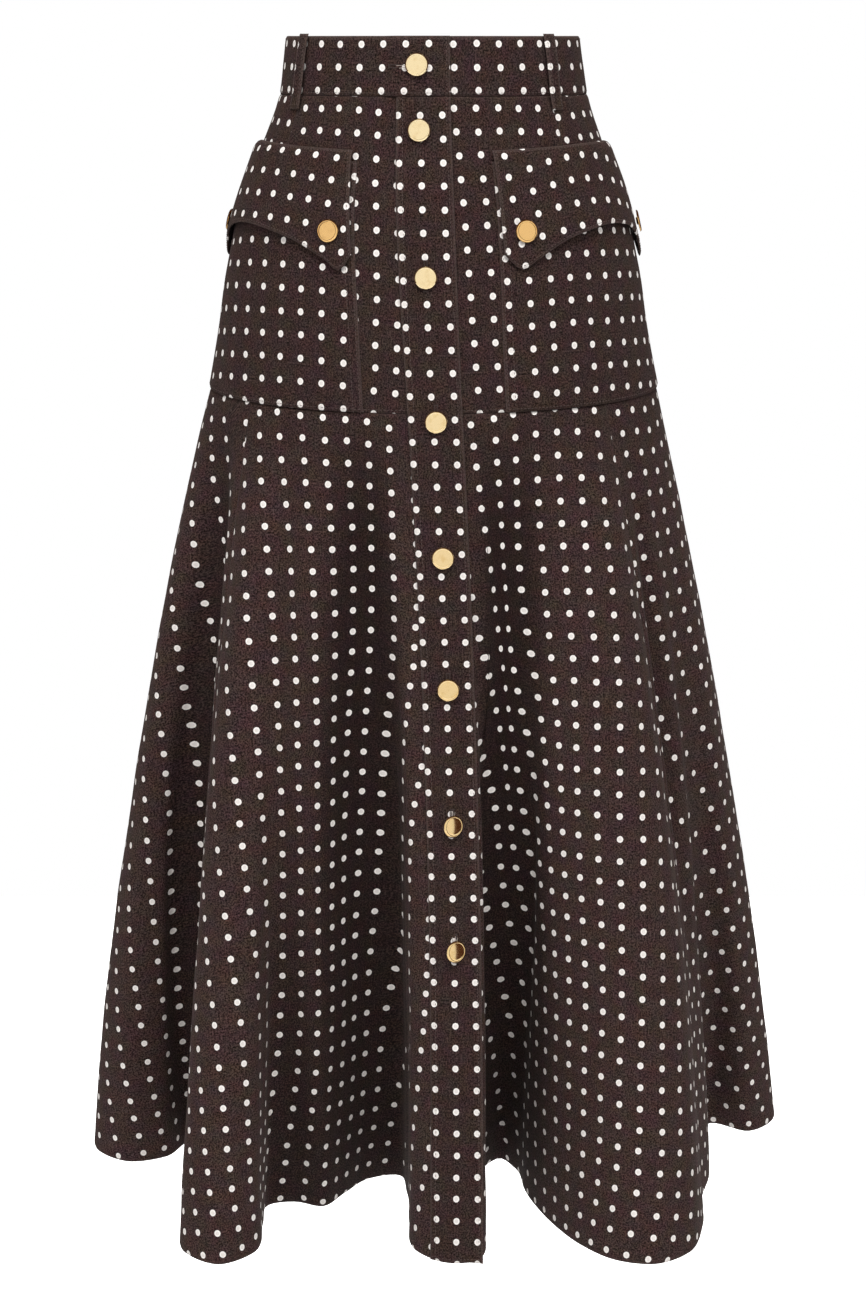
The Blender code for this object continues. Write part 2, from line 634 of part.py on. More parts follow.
def main():
    """Clears the scene and builds the skirt."""
    for old in list(bpy.data.objects):
        bpy.data.objects.remove(old, do_unlink=True)
    collection = bpy.data.collections.new("cargo_midi_skirt")
    bpy.context.scene.collection.children.link(collection)
    build_waistband()
    build_panels()
    build_placket()
    build_pockets()
    build_loops()
    build_buttons()


main()
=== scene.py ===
"""Looks of a cargo midi skirt, filled out as it is when worn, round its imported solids.

The frame: metres, +Z up, the front faces -Y, and the origin is the centre of the waist. "Left" and
"right" are those of someone who looks at the front. Tables of the form are in centimetres.
"""

from __future__ import annotations

import logging
import math
from dataclasses import dataclass, field
from enum import Enum

import bmesh
import bpy
import numpy as np
from mathutils import Matrix, Vector


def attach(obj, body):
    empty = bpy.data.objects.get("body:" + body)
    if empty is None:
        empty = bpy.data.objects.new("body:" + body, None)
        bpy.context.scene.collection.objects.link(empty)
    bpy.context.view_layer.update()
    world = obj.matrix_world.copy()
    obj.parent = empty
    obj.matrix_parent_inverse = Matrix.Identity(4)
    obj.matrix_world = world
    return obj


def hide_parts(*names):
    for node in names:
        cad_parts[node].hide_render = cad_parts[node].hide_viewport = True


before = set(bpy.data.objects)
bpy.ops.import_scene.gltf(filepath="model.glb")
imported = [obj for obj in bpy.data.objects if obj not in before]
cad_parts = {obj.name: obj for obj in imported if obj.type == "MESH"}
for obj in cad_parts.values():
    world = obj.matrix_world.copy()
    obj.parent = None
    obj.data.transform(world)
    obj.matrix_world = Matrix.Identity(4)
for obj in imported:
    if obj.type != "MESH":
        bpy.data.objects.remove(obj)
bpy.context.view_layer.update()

LOG = logging.getLogger("skirt")
CM, MM = 0.01, 0.001
FULL_TURN = 360.0
Array = np.ndarray
Rgb = tuple[float, float, float]
Color = tuple[float, float, float, float]

# The main levels and cloth thicknesses, as in the solids.
BAND_TOP = 2.25 * CM
BAND_BOTTOM = -2.25 * CM
HIP_SEAM_SIDE = -25.7 * CM
HIP_SEAM_DIP = 0.7 * CM
HEM = -94.5 * CM
FOLD_MIDDLE = -57.0 * CM
CLOTH = 1.5 * MM
BAND_CLOTH = 2.0 * MM
FLAP_CLOTH = 2.0 * MM
SEAM_GAP = 0.3 * MM

# The print, the weave, and painted light on crests and painted shade in valleys and creases.
PRINT_PITCH = 17.5 * MM
DOT_RADIUS = 2.63 * MM
THREAD_STEP = 0.55 * MM
PAINTED_CREST_LIGHT, PAINTED_VALLEY_SHADE, PAINTED_CREASE_SHADE = 0.20, 0.31, 0.25


@dataclass(frozen=True)
class Section:
    """The body's section at one height: half its width, its depth in front and behind."""

    z: float
    half_width: float
    front: float
    back: float


@dataclass(frozen=True)
class Fold:
    """One line of the lower skirt: its angle at the hip, and its place half way and at the hem."""

    name: str
    hip_deg: float
    middle_x: float
    middle_y: float
    hem_x: float
    hem_y: float


@dataclass(frozen=True)
class YokeLine:
    """A line down the yoke, from the waistband to the hip seam, and the fold that it meets."""

    waist_deg: float
    hip_deg: float
    fold: str = ""
    share: float = 0.0


SECTIONS = (
    Section(2.25, 11.70, 8.9, 8.6),
    Section(0.0, 12.00, 9.1, 8.9),
    Section(-2.25, 12.35, 9.3, 9.2),
    Section(-6.5, 13.85, 9.9, 10.2),
    Section(-11.0, 15.45, 10.8, 11.6),
    Section(-16.0, 16.55, 11.4, 12.6),
    Section(-21.0, 17.35, 11.8, 13.0),
    Section(-26.4, 18.45, 12.1, 13.2),
    Section(-30.0, 19.30, 12.3, 13.4),
)

FOLDS = (
    Fold("back_dip_3", -158.0, -9.4, 14.9, -11.2, 14.6),
    Fold("back_fold_4", -149.0, -13.4, 15.1, -16.0, 19.8),
    Fold("back_fold_4_lee", -141.0, -16.8, 14.2, -19.8, 19.2),
    Fold("back_dip_4", -132.0, -19.6, 12.2, -23.4, 12.6),
    Fold("back_fold_5", -119.0, -23.0, 9.8, -27.9, 14.0),
    Fold("side_left_back", -100.0, -25.0, 5.0, -30.2, 7.0),
    Fold("side_left_edge", -89.0, -25.2, 0.6, -30.0, 0.9),
    Fold("side_left_crest", -81.0, -24.0, -1.9, -26.8, -1.5),
    Fold("side_left_inside", -75.0, -22.3, -2.8, -23.6, -0.4),
    Fold("side_left_root", -70.0, -20.8, -3.2, -21.6, 2.8),
    Fold("valley_side_left", -65.0, -19.4, -4.2, -19.9, 2.2),
    Fold("fold_left_back", -59.0, -18.6, -6.4, -20.4, -6.0),
    Fold("fold_left_outside", -53.0, -18.4, -9.0, -20.8, -13.5),
    Fold("fold_left_edge", -50.0, -17.8, -11.2, -20.5, -18.4),
    Fold("fold_left_crest", -46.5, -16.2, -12.9, -17.3, -20.7),
    Fold("fold_left_lip", -43.5, -14.4, -13.1, -14.6, -18.6),
    Fold("fold_left_inside", -40.5, -13.2, -12.6, -14.2, -13.8),
    Fold("fold_left_root", -37.5, -12.3, -12.4, -13.7, -9.9),
    Fold("inner_dip", -34.0, -11.3, -12.7, -11.8, -9.5),
    Fold("inner_crest", -30.0, -9.8, -13.1, -9.4, -10.3),
    Fold("inner_slope", -25.5, -7.9, -12.8, -7.6, -7.8),
    Fold("valley_left_rise", -21.0, -5.8, -12.2, -5.5, -4.9),
    Fold("valley_left", -17.0, -3.9, -11.9, -3.1, -4.2),
    Fold("left_flank_deep", -14.0, -2.9, -12.3, -2.2, -8.0),
    Fold("left_flank", -11.5, -2.3, -13.2, -2.05, -13.5),
    Fold("left_shoulder", -9.0, -1.6, -14.0, -1.5, -18.3),
    Fold("placket_left", -6.1, -0.55, -14.3, -0.2, -19.7),
    Fold("underlap_right", 3.8, 2.5, -14.35, 3.0, -20.3),
    Fold("right_corner", 6.2, 3.4, -13.9, 3.95, -19.6),
    Fold("right_flank", 8.5, 3.75, -13.2, 4.25, -16.0),
    Fold("right_flank_deep", 11.0, 4.2, -12.6, 4.2, -9.0),
    Fold("slit_valley", 14.0, 5.0, -12.3, 4.7, -2.4),
    Fold("slit_valley_floor", 17.5, 6.2, -12.2, 5.9, -0.9),
    Fold("slit_valley_rise", 21.5, 7.6, -11.9, 7.1, -2.8),
    Fold("fold_right_root", 25.0, 8.5, -12.1, 7.9, -7.5),
    Fold("fold_right_slope", 29.0, 10.0, -12.7, 9.6, -12.6),
    Fold("fold_right_rise", 33.0, 12.2, -13.1, 12.1, -17.2),
    Fold("fold_right_lip", 37.0, 14.6, -13.2, 15.0, -20.0),
    Fold("fold_right_crest", 40.5, 16.6, -12.8, 18.2, -20.6),
    Fold("fold_right_edge", 43.5, 18.2, -11.5, 21.1, -18.6),
    Fold("fold_right_outside", 46.0, 18.9, -9.4, 22.6, -14.0),
    Fold("fold_right_back", 48.6, 19.1, -7.4, 23.1, -8.5),
    Fold("ridge_right", 54.0, 20.2, -5.9, 24.1, -4.6),
    Fold("ridge_right_back", 60.0, 20.9, -4.4, 24.4, -0.5),
    Fold("valley_side_right", 66.0, 21.4, -2.6, 24.0, 4.5),
    Fold("side_right_root", 72.0, 22.4, -1.4, 25.4, 6.6),
    Fold("side_right_crest", 79.0, 24.0, -0.2, 28.6, 4.9),
    Fold("side_right_edge", 87.0, 25.2, 2.4, 31.2, 7.4),
    Fold("side_right_back", 97.0, 25.2, 6.4, 30.9, 12.6),
    Fold("back_fold_1", 108.0, 23.6, 9.6, 28.6, 17.0),
    Fold("back_fold_1_lee", 117.0, 21.4, 11.8, 25.2, 17.4),
    Fold("back_dip_1", 127.0, 18.2, 13.1, 20.6, 12.2),
    Fold("back_fold_2", 139.0, 13.9, 15.1, 15.6, 20.4),
    Fold("back_fold_2_lee", 147.0, 10.6, 15.8, 11.6, 21.4),
    Fold("back_dip_2", 158.0, 6.2, 15.3, 6.6, 15.2),
    Fold("back_dip_2_lee", 167.0, 3.2, 15.4, 3.4, 15.0),
    Fold("back_fold_3", 181.0, -1.2, 16.2, -1.8, 20.8),
    Fold("back_fold_3_lee", 190.0, -5.0, 16.1, -6.0, 21.2),
)

YOKE_LINES = {
    "seam_back_from": YokeLine(-183.0, -186.0, "back_dip_2_lee", 0.5),
    "pocket_back_left": YokeLine(-106.0, -105.0),
    "seam_side_left": YokeLine(-101.0, -100.0, "side_left_back"),
    "seam_front_left": YokeLine(-58.0, -53.0, "fold_left_outside"),
    "pocket_front_left": YokeLine(-26.5, -17.3),
    "placket_left": YokeLine(-13.0, -6.1, "placket_left"),
    "seam_underlap": YokeLine(1.2, 3.8, "underlap_right"),
    "pocket_front_right": YokeLine(19.2, 18.1),
    "seam_front_right": YokeLine(48.6, 48.6, "fold_right_back"),
    "seam_side_right": YokeLine(95.0, 97.0, "side_right_back"),
    "pocket_back_right": YokeLine(100.0, 101.0),
    "seam_back_to": YokeLine(177.0, 174.0, "back_dip_2_lee", 0.5),
}

PANELS = {
    "back_left": ("seam_back_from", "seam_side_left"),
    "side_left": ("seam_side_left", "seam_front_left"),
    "front_left": ("seam_front_left", "placket_left"),
    "front_right": ("seam_underlap", "seam_front_right"),
    "side_right": ("seam_front_right", "seam_side_right"),
    "back_right": ("seam_side_right", "seam_back_to"),
}


def smooth_through(knots: Array, values: Array, at: Array) -> Array:
    """Values of a smooth curve that passes through each row of values at its knot.

    Args:
        knots: Rising places of the rows.
        values: One row for each knot.
        at: Where the curve is wanted.

    Returns:
        The curve's values, with the last axis of values.
    """
    slopes = np.gradient(values, knots, axis=0)
    left = np.clip(np.searchsorted(knots, at, side="right") - 1, 0, len(knots) - 2)
    width = knots[left + 1] - knots[left]
    share = ((at - knots[left]) / width)[..., None]
    width = width[..., None]
    square = share * share
    cube = square * share
    return (
        (2 * cube - 3 * square + 1) * values[left]
        + (cube - 2 * square + share) * width * slopes[left]
        + (3 * square - 2 * cube) * values[left + 1]
        + (cube - square) * width * slopes[left + 1]
    )


def unit(vectors: Array) -> Array:
    """The vectors at length one."""
    return vectors / np.linalg.norm(vectors, axis=-1, keepdims=True)


def ease(share: Array) -> Array:
    """A share between 0 and 1 that starts and ends softly."""
    return share * share * (3 - 2 * share)


def read_at(place: Array | float, arc: Array, rows: Array) -> Array:
    """Rows of values, read at one or more places along an arc."""
    return np.stack([np.interp(place, arc, column) for column in rows.T], axis=-1)


def stations(
    length: float, step: float, near: tuple[float, ...] = (0.8 * MM, 2 * MM, 4 * MM)
) -> Array:
    """Shares of a length at even steps, with closer ones beside both ends.

    Args:
        length: The length in metres.
        step: The widest step.
        near: Distances of the extra stations from each end.

    Returns:
        Rising shares from 0 to 1.
    """
    margin = near[-1] / length
    inner = np.linspace(margin, 1 - margin, max(2, math.ceil(length * (1 - 2 * margin) / step) + 1))
    close = [distance / length for distance in near[:-1]]
    return np.array([0.0, *close, *inner, *[1 - share for share in reversed(close)], 1.0])


@dataclass
class BodyForm:
    """The body from waist to hip, as a smooth run of half ellipses."""

    def __post_init__(self) -> None:
        """Turns the table into arrays, from the lowest section up."""
        rows = SECTIONS[::-1]
        self.heights = np.array([row.z for row in rows]) * CM
        self.sizes = np.array([(row.half_width, row.front, row.back) for row in rows]) * CM

    def point(self, degrees: Array | float, z: Array | float) -> Array:
        """The surface at an angle round the body and a height.

        Args:
            degrees: Angle from the front, positive towards the right.
            z: Height.

        Returns:
            Points, with x, y and z on the last axis.
        """
        degrees, z = np.broadcast_arrays(np.asarray(degrees, float), np.asarray(z, float))
        half_width, front, back = np.moveaxis(smooth_through(self.heights, self.sizes, z), -1, 0)
        angle = np.radians(degrees)
        depth = np.where(np.cos(angle) > 0, front, back)
        return np.stack([half_width * np.sin(angle), -depth * np.cos(angle), z], axis=-1)

    def normal(self, degrees: Array | float, z: Array | float) -> Array:
        """The outward direction there.

        Args:
            degrees: Angle from the front, positive towards the right.
            z: Height.

        Returns:
            Unit vectors.
        """
        turn = self.point(degrees + 0.5, z) - self.point(degrees - 0.5, z)
        drop = self.point(degrees, z - MM) - self.point(degrees, z + MM)
        return unit(np.cross(drop, turn))

    @staticmethod
    def hip_seam(degrees: Array | float) -> Array:
        """Height of the seam between yoke and lower skirt, which dips a little at the front."""
        return HIP_SEAM_SIDE - HIP_SEAM_DIP * np.maximum(np.cos(np.radians(degrees)), 0.0)


@dataclass
class LowerForm:
    """The flared lower skirt as a closed surface, worked out from its fold lines."""

    body: BodyForm
    loop_points: int = 600
    calm_waves: float = 3.0
    full_stand: float = 11 * MM
    soft_start: float = 0.12

    def __post_init__(self) -> None:
        """Lays the fold lines out round the hem three times over, so that the curve closes."""
        hem = np.array([(fold.hem_x, fold.hem_y) for fold in FOLDS]) * CM
        middle = np.array([(fold.middle_x, fold.middle_y) for fold in FOLDS]) * CM
        hip = np.array([[fold.hip_deg] for fold in FOLDS])
        steps = np.linalg.norm(np.roll(hem, -1, axis=0) - hem, axis=1)
        knots = np.concatenate([[0.0], np.cumsum(steps)[:-1]])
        self.length = float(steps.sum())
        self.knots = np.concatenate([knots - self.length, knots, knots + self.length])
        self.hip = np.concatenate([hip - FULL_TURN, hip, hip + FULL_TURN])
        self.middle, self.hem = np.tile(middle, (3, 1)), np.tile(hem, (3, 1))
        self.at = {fold.name: float(knot) for fold, knot in zip(FOLDS, knots)}

    def seam_at(self, name: str) -> float:
        """Where a line of the yoke goes on, as a distance along the hem.

        Args:
            name: The yoke's line.

        Returns:
            Distance along the hem, in metres.
        """
        line = YOKE_LINES[name]
        start = self.at[line.fold]
        after = self.knots[self.knots > start + MM].min()
        return float(start + (after - start) * line.share)

    def along(self, lines: tuple[str, str], across: Array) -> Array:
        """Distances along the hem between two of the yoke's lines.

        Args:
            lines: The lines on the left and on the right.
            across: Shares of the way between them.

        Returns:
            Distances in metres.
        """
        start, end = (self.seam_at(name) for name in lines)
        start -= self.length if start > end else 0.0
        return start + (end - start) * across

    def point(self, along: Array, share: Array) -> Array:
        """The surface at a distance along the hem and a share of the way down.

        Args:
            along: Distance along the hem.
            share: 0 at the hip seam, 1 at the hem.

        Returns:
            Points, with x, y and z on the last axis.
        """
        along, share = np.broadcast_arrays(np.asarray(along, float), np.asarray(share, float))
        degrees = smooth_through(self.knots, self.hip, along)[..., 0]
        seam_z = self.body.hip_seam(degrees)
        half_way = (FOLD_MIDDLE - seam_z) / (HEM - seam_z)
        from_hip = (share - half_way) * (share - 1) / half_way
        from_middle = share * (1 - share) / (half_way * (1 - half_way))
        from_hem = share * (share - half_way) / (1 - half_way)
        flat = (
            from_hip[..., None] * self.body.point(degrees, seam_z)[..., :2]
            + from_middle[..., None] * smooth_through(self.knots, self.middle, along)
            + from_hem[..., None] * smooth_through(self.knots, self.hem, along)
        )
        z = seam_z + (HEM - seam_z) * share
        return np.concatenate([flat, z[..., None]], axis=-1)

    def normal(self, along: Array, share: Array) -> Array:
        """The outward direction there.

        Args:
            along: Distance along the hem.
            share: 0 at the hip seam, 1 at the hem.

        Returns:
            Unit vectors.
        """
        turn = self.point(along + MM, share) - self.point(along - MM, share)
        drop = self.point(along, share + 0.002) - self.point(along, share - 0.002)
        return unit(np.cross(drop, turn))

    def painted_shading(self, along: Array, share: Array) -> Array:
        """Painted light and shade on the ground: paler where folds stand out, darker where they lie
        back.

        Args:
            along: Distances along the hem, for the columns.
            share: Shares of the way down, for the rows.

        Returns:
            A factor on the ground's tone at each point.
        """
        loop = np.linspace(0.0, self.length, self.loop_points, endpoint=False)
        ring = self.point(loop, 0.5 + 0.5 * share[:, None])[..., :2]
        waves = np.fft.rfft(ring, axis=1)
        calm = np.exp(-((np.arange(waves.shape[1]) / self.calm_waves) ** 2))
        mean = np.fft.irfft(waves * calm[:, None], len(loop), axis=1)
        turn = np.roll(mean, -1, axis=1) - np.roll(mean, 1, axis=1)
        out = unit(np.stack([turn[..., 1], -turn[..., 0]], axis=-1))
        out *= np.sign((out * mean).sum(axis=-1, keepdims=True))
        stands = np.tanh(((ring - mean) * out).sum(axis=-1) / self.full_stand)
        stands *= np.clip(share / self.soft_start, 0, 1)[:, None]
        rows = np.array([np.interp(along, loop, row, period=self.length) for row in stands])
        # Painted light on standing folds, painted shade where they lie back.
        return 1.0 + np.where(rows > 0, PAINTED_CREST_LIGHT, PAINTED_VALLEY_SHADE) * rows


# How far the print of a hanging panel is drawn aside and down by its folds, in millimetres: pairs
# at even places across, in rows at even places down. Another program made the rows of the four
# skirt panels, by a least-squares fit to where the dots lie in the photograph. The other rows were
# given from measurements of it.
PRINT_DRIFT = {
    "yoke_front_left_cloth": (
        (17.5, 0, 17.5, 0),
        (11.5, 0, 11.5, 0),
        (3.4, 0, 3.4, 0),
        (0.3, 0, 0.3, 0),
        (0.6, 0, 0.6, 0),
        (0.8, 0, 0.8, 0),
    ),
    "placket_overlap_cloth": (
        (-0.8, -4.7, -0.8, -4.7),
        (-0.4, 0.8, -0.4, 0.8),
        (0.0, 2.1, 0.0, 2.1),
        (0.2, -1.7, 0.2, -1.7),
        (0.0, 0.4, 0.0, 0.4),
    ),
    "skirt_front_left_cloth": (
        (25, -2, 24, -3, 24, -2, 23, 1, 20, 2, 19, 3, 18, 3, 18, 2, 18, 3, 19, 4, 19, 4),
        (-1, 10, -1, 9, -5, 6, -7, 4, -8, 2, -8, 0, -6, -1, -3, -4, 1, -7, 1, -4, 0, -2),
        (
            -6, 23, -11, 19, -19, 16, -21, 10, -21, 6,
            -17, -1, -13, -3, -2, -10, 3, -11, 0, -20, -3, -25,
        ),
        (6, 21, 4, 20, -4, 14, -9, 12, -11, 7, -9, 2, -1, 0, 14, -6, -2, -20, -36, -45, -42, -57),
        (56, 8, 47, -3, 45, -4, 49, -14, 31, 3, 25, 4, 29, 12, 31, 10, -5, -25, -73, -56, -85, -86),
    ),
    "skirt_front_right_cloth": (
        (
            -25, -6, -24, -4, -24, -4, -24, -4, -22, -4,
            -22, -4, -22, -5, -22, -5, -22, -5, -22, -5, -22, -4,
        ),
        (-5, -15, -5, -14, -4, -15, 2, -11, 6, -5, 7, -2, 7, 0, 7, 3, 5, 4, 1, 7, 0, 9),
        (
            -10, -19, -11, -21, -10, -23, 7, -16, 21, -5,
            30, 1, 32, 6, 31, 10, 30, 14, 29, 20, 28, 23,
        ),
        (-12, -28, -14, -26, -16, -21, -17, -18, -9, -9, 0, -2, 8, 6, 13, 17, 11, 24, 5, 26, 5, 26),
        (
            11, -43, 6, -39, -6, -26, -20, 3, -36, 5,
            -50, 0, -55, -1, -48, 5, -48, 12, -52, 17, -55, 20,
        ),
    ),
    "skirt_side_left_cloth": (
        (29, 5, 29, 5, 29, 3, 28, 1, 26, -5, 25, -7, 21, -14, 21, -11, 18, -18, 9, -29, 8, -35),
        (10, 11, 10, 10, 10, 8, 9, 5, 7, 1, 1, -8, -1, -11, -8, -19, -10, -18, -14, -27, -15, -31),
        (
            -5, 18, -5, 17, -6, 15, -6, 11, -9, 4,
            -13, -3, -15, -10, -16, -16, -16, -20, -16, -24, -16, -24,
        ),
        (5, 20, 5, 21, 6, 25, 4, 21, -4, 10, -6, 5, -7, -4, -7, -12, -7, -17, -7, -18, -7, -16),
        (28, 18, 28, 18, 27, 18, 16, 9, 12, 8, 8, 6, 4, -8, 3, -13, 3, -14, 3, -14, 2, -10),
    ),
    "skirt_side_right_cloth": (
        (
            -95, -10, -94, -6, -93, -1, -92, 5, -91, 11,
            -90, 14, -90, 16, -89, 18, -89, 21, -89, 23, -88, 25,
        ),
        (
            -35, -25, -34, -22, -32, -16, -32, -10, -31, -4,
            -31, 1, -31, 5, -30, 9, -29, 12, -29, 14, -28, 16,
        ),
        (10, -37, 8, -39, 9, -31, 5, -22, 0, -12, -6, -6, -5, 0, -5, 5, -4, 8, -3, 10, -3, 11),
        (-5, -21, -7, -23, -6, -22, -4, -15, -1, -6, 1, 4, 3, 9, 4, 13, 4, 12, 4, 11, 4, 10),
        (
            -14, -12, -15, -14, -14, -13, -13, -10, -11, -1,
            -9, 11, -9, 27, -8, 30, -12, 24, -15, 19, -16, 16,
        ),
    ),
}


@dataclass(frozen=True)
class PrintLay:
    """How the print lies on a piece: the column that is cut on the grain, how much more the cut
    fans out than its edges do, how far it is turned, how the cloth has stretched, where its dots
    start, in shares of the pitch, and the share of its length that is cut off its top."""

    grain: float = 0.5
    fan: float = 0.0
    turn_deg: float = 0.0
    stretch_across: float = 1.0
    stretch_down: float = 1.0
    across: float = 0.0
    down: float = 0.0
    cut_off: float = 0.0
    straight: bool = False


class Side(Enum):
    """An edge of a sheet: whether it runs across, and whether it's the last one of its kind."""

    LEFT = (False, False)
    RIGHT = (False, True)
    TOP = (True, False)
    BOTTOM = (True, True)


class Edge(Enum):
    """How an edge of a piece is finished: how deep it rolls in, over what reach, and its wear."""

    SEAM = (0.8 * MM, 1.6 * MM, 0.25)
    FOLDED = (0.9 * MM, 1.1 * MM, 1.0)

    def dip(self, distance: Array) -> Array:
        """How far the face rolls in at a distance from the edge."""
        return self.value[0] * np.exp(-((distance / self.value[1]) ** 2))

    def wear(self, distance: Array) -> Array:
        """How rubbed the cloth is at a distance from the edge."""
        return self.value[2] * np.exp(-((distance / (1.3 * MM)) ** 2))


HEMMED = (Edge.SEAM, Edge.SEAM, Edge.SEAM, Edge.FOLDED)
SEWN_BELOW = (Edge.FOLDED, Edge.FOLDED, Edge.FOLDED, Edge.SEAM)


@dataclass(frozen=True)
class Crease:
    """A soft ridge or trough, between two places given as shares across and down its piece."""

    from_across: float
    from_down: float
    to_across: float
    to_down: float
    width_mm: float
    height_mm: float

    def lift(self, place: Array, size: Array) -> Array:
        """How far the crease lifts each point.

        Args:
            place: Distances across and down.
            size: The piece's width and length.

        Returns:
            Heights in metres, below zero for a trough.
        """
        start = np.array([self.from_across, self.from_down]) * size
        run = np.array([self.to_across, self.to_down]) * size - start
        reach = float(np.linalg.norm(run))
        along = np.clip((place - start) @ run / reach**2, 0, 1)
        bow = 0.05 * min(reach, 90 * MM) * np.sin(math.pi * along)
        aside = ((place - start) @ np.array([-run[1], run[0]])) / reach - bow
        swell = np.sin(math.pi * along**0.7) ** 1.5
        return self.height_mm * MM * swell * np.exp(-((aside / (self.width_mm * MM)) ** 2))


CREASES = {
    "skirt_front_left_cloth": (
        Crease(0.66, 0.02, 0.64, 0.90, 25.0, -18.0),
        Crease(0.84, 0.05, 0.80, 0.60, 12.0, -2.0),
        Crease(0.40, 0.03, 0.36, 0.50, 15.0, -2.2),
        Crease(0.20, 0.02, 0.18, 0.74, 24.0, 4.5),
        Crease(0.49, 0.10, 0.50, 0.62, 13.0, 1.6),
        Crease(0.44, 0.60, 0.46, 0.99, 12.0, -1.6),
    ),
    "skirt_front_right_cloth": (
        Crease(0.34, 0.02, 0.33, 0.88, 25.0, -18.0),
        Crease(0.47, 0.10, 0.48, 0.60, 14.0, 1.8),
        Crease(0.58, 0.02, 0.56, 0.44, 15.0, -1.6),
        Crease(0.72, 0.02, 0.74, 0.70, 26.0, 4.5),
        Crease(0.60, 0.55, 0.58, 0.98, 14.0, 1.4),
    ),
    "skirt_side_left_cloth": (
        Crease(0.55, 0.02, 0.53, 0.94, 20.0, -20.0),
        Crease(0.32, 0.06, 0.28, 0.70, 15.0, 2.4),
        Crease(0.12, 0.20, 0.14, 0.85, 13.0, -1.8),
    ),
    "skirt_side_right_cloth": (
        Crease(0.14, 0.04, 0.16, 0.95, 14.0, -12.0),
        Crease(0.66, 0.08, 0.70, 0.70, 15.0, 2.2),
        Crease(0.86, 0.20, 0.88, 0.80, 12.0, -1.6),
    ),
    "skirt_back_left_cloth": (
        Crease(0.16, 0.10, 0.14, 0.62, 13.0, 1.8),
        Crease(0.35, 0.03, 0.35, 0.80, 18.0, -5.0),
        Crease(0.52, 0.02, 0.54, 0.54, 16.0, 2.4),
        Crease(0.74, 0.04, 0.74, 0.86, 16.0, -4.5),
    ),
    "skirt_back_right_cloth": (
        Crease(0.14, 0.04, 0.15, 0.60, 14.0, 2.0),
        Crease(0.35, 0.03, 0.34, 0.84, 17.0, -5.0),
        Crease(0.58, 0.02, 0.60, 0.58, 16.0, 2.6),
        Crease(0.84, 0.05, 0.83, 0.78, 16.0, -4.0),
    ),
    "yoke_back_left_cloth": (
        Crease(0.10, 0.10, 0.55, 0.22, 9.0, 0.7),
    ),
    "yoke_back_right_cloth": (
        Crease(0.88, 0.12, 0.42, 0.20, 9.0, -0.7),
    ),
    "yoke_front_left_cloth": (
        Crease(0.96, 0.30, 0.70, 0.42, 8.0, -0.6),
    ),
    "yoke_front_right_cloth": (
        Crease(0.04, 0.16, 0.34, 0.26, 8.0, 0.6),
    ),
    "flap_left_cloth": (
        Crease(0.30, 0.15, 0.62, 0.85, 13.0, 1.2),
    ),
    "flap_right_cloth": (
        Crease(0.66, 0.18, 0.40, 0.85, 13.0, -1.0),
    ),
}

# The cloth's small unevenness: each wave's turns per metre, its height and its phase.
RIPPLES = (
    ((61.0, 23.0, 37.0), 0.16 * MM, 0.3),
    ((-38.0, 52.0, 71.0), 0.14 * MM, 1.9),
    ((118.0, -64.0, -49.0), 0.09 * MM, 4.1),
    ((-93.0, 105.0, 130.0), 0.06 * MM, 2.6),
    ((22.0, 31.0, -19.0), 0.30 * MM, 5.2),
)


def ripple(points: Array) -> Array:
    """How far each point moves out, the same for all the layers at one place."""
    return sum(height * np.sin(points @ np.array(wave) + phase) for wave, height, phase in RIPPLES)


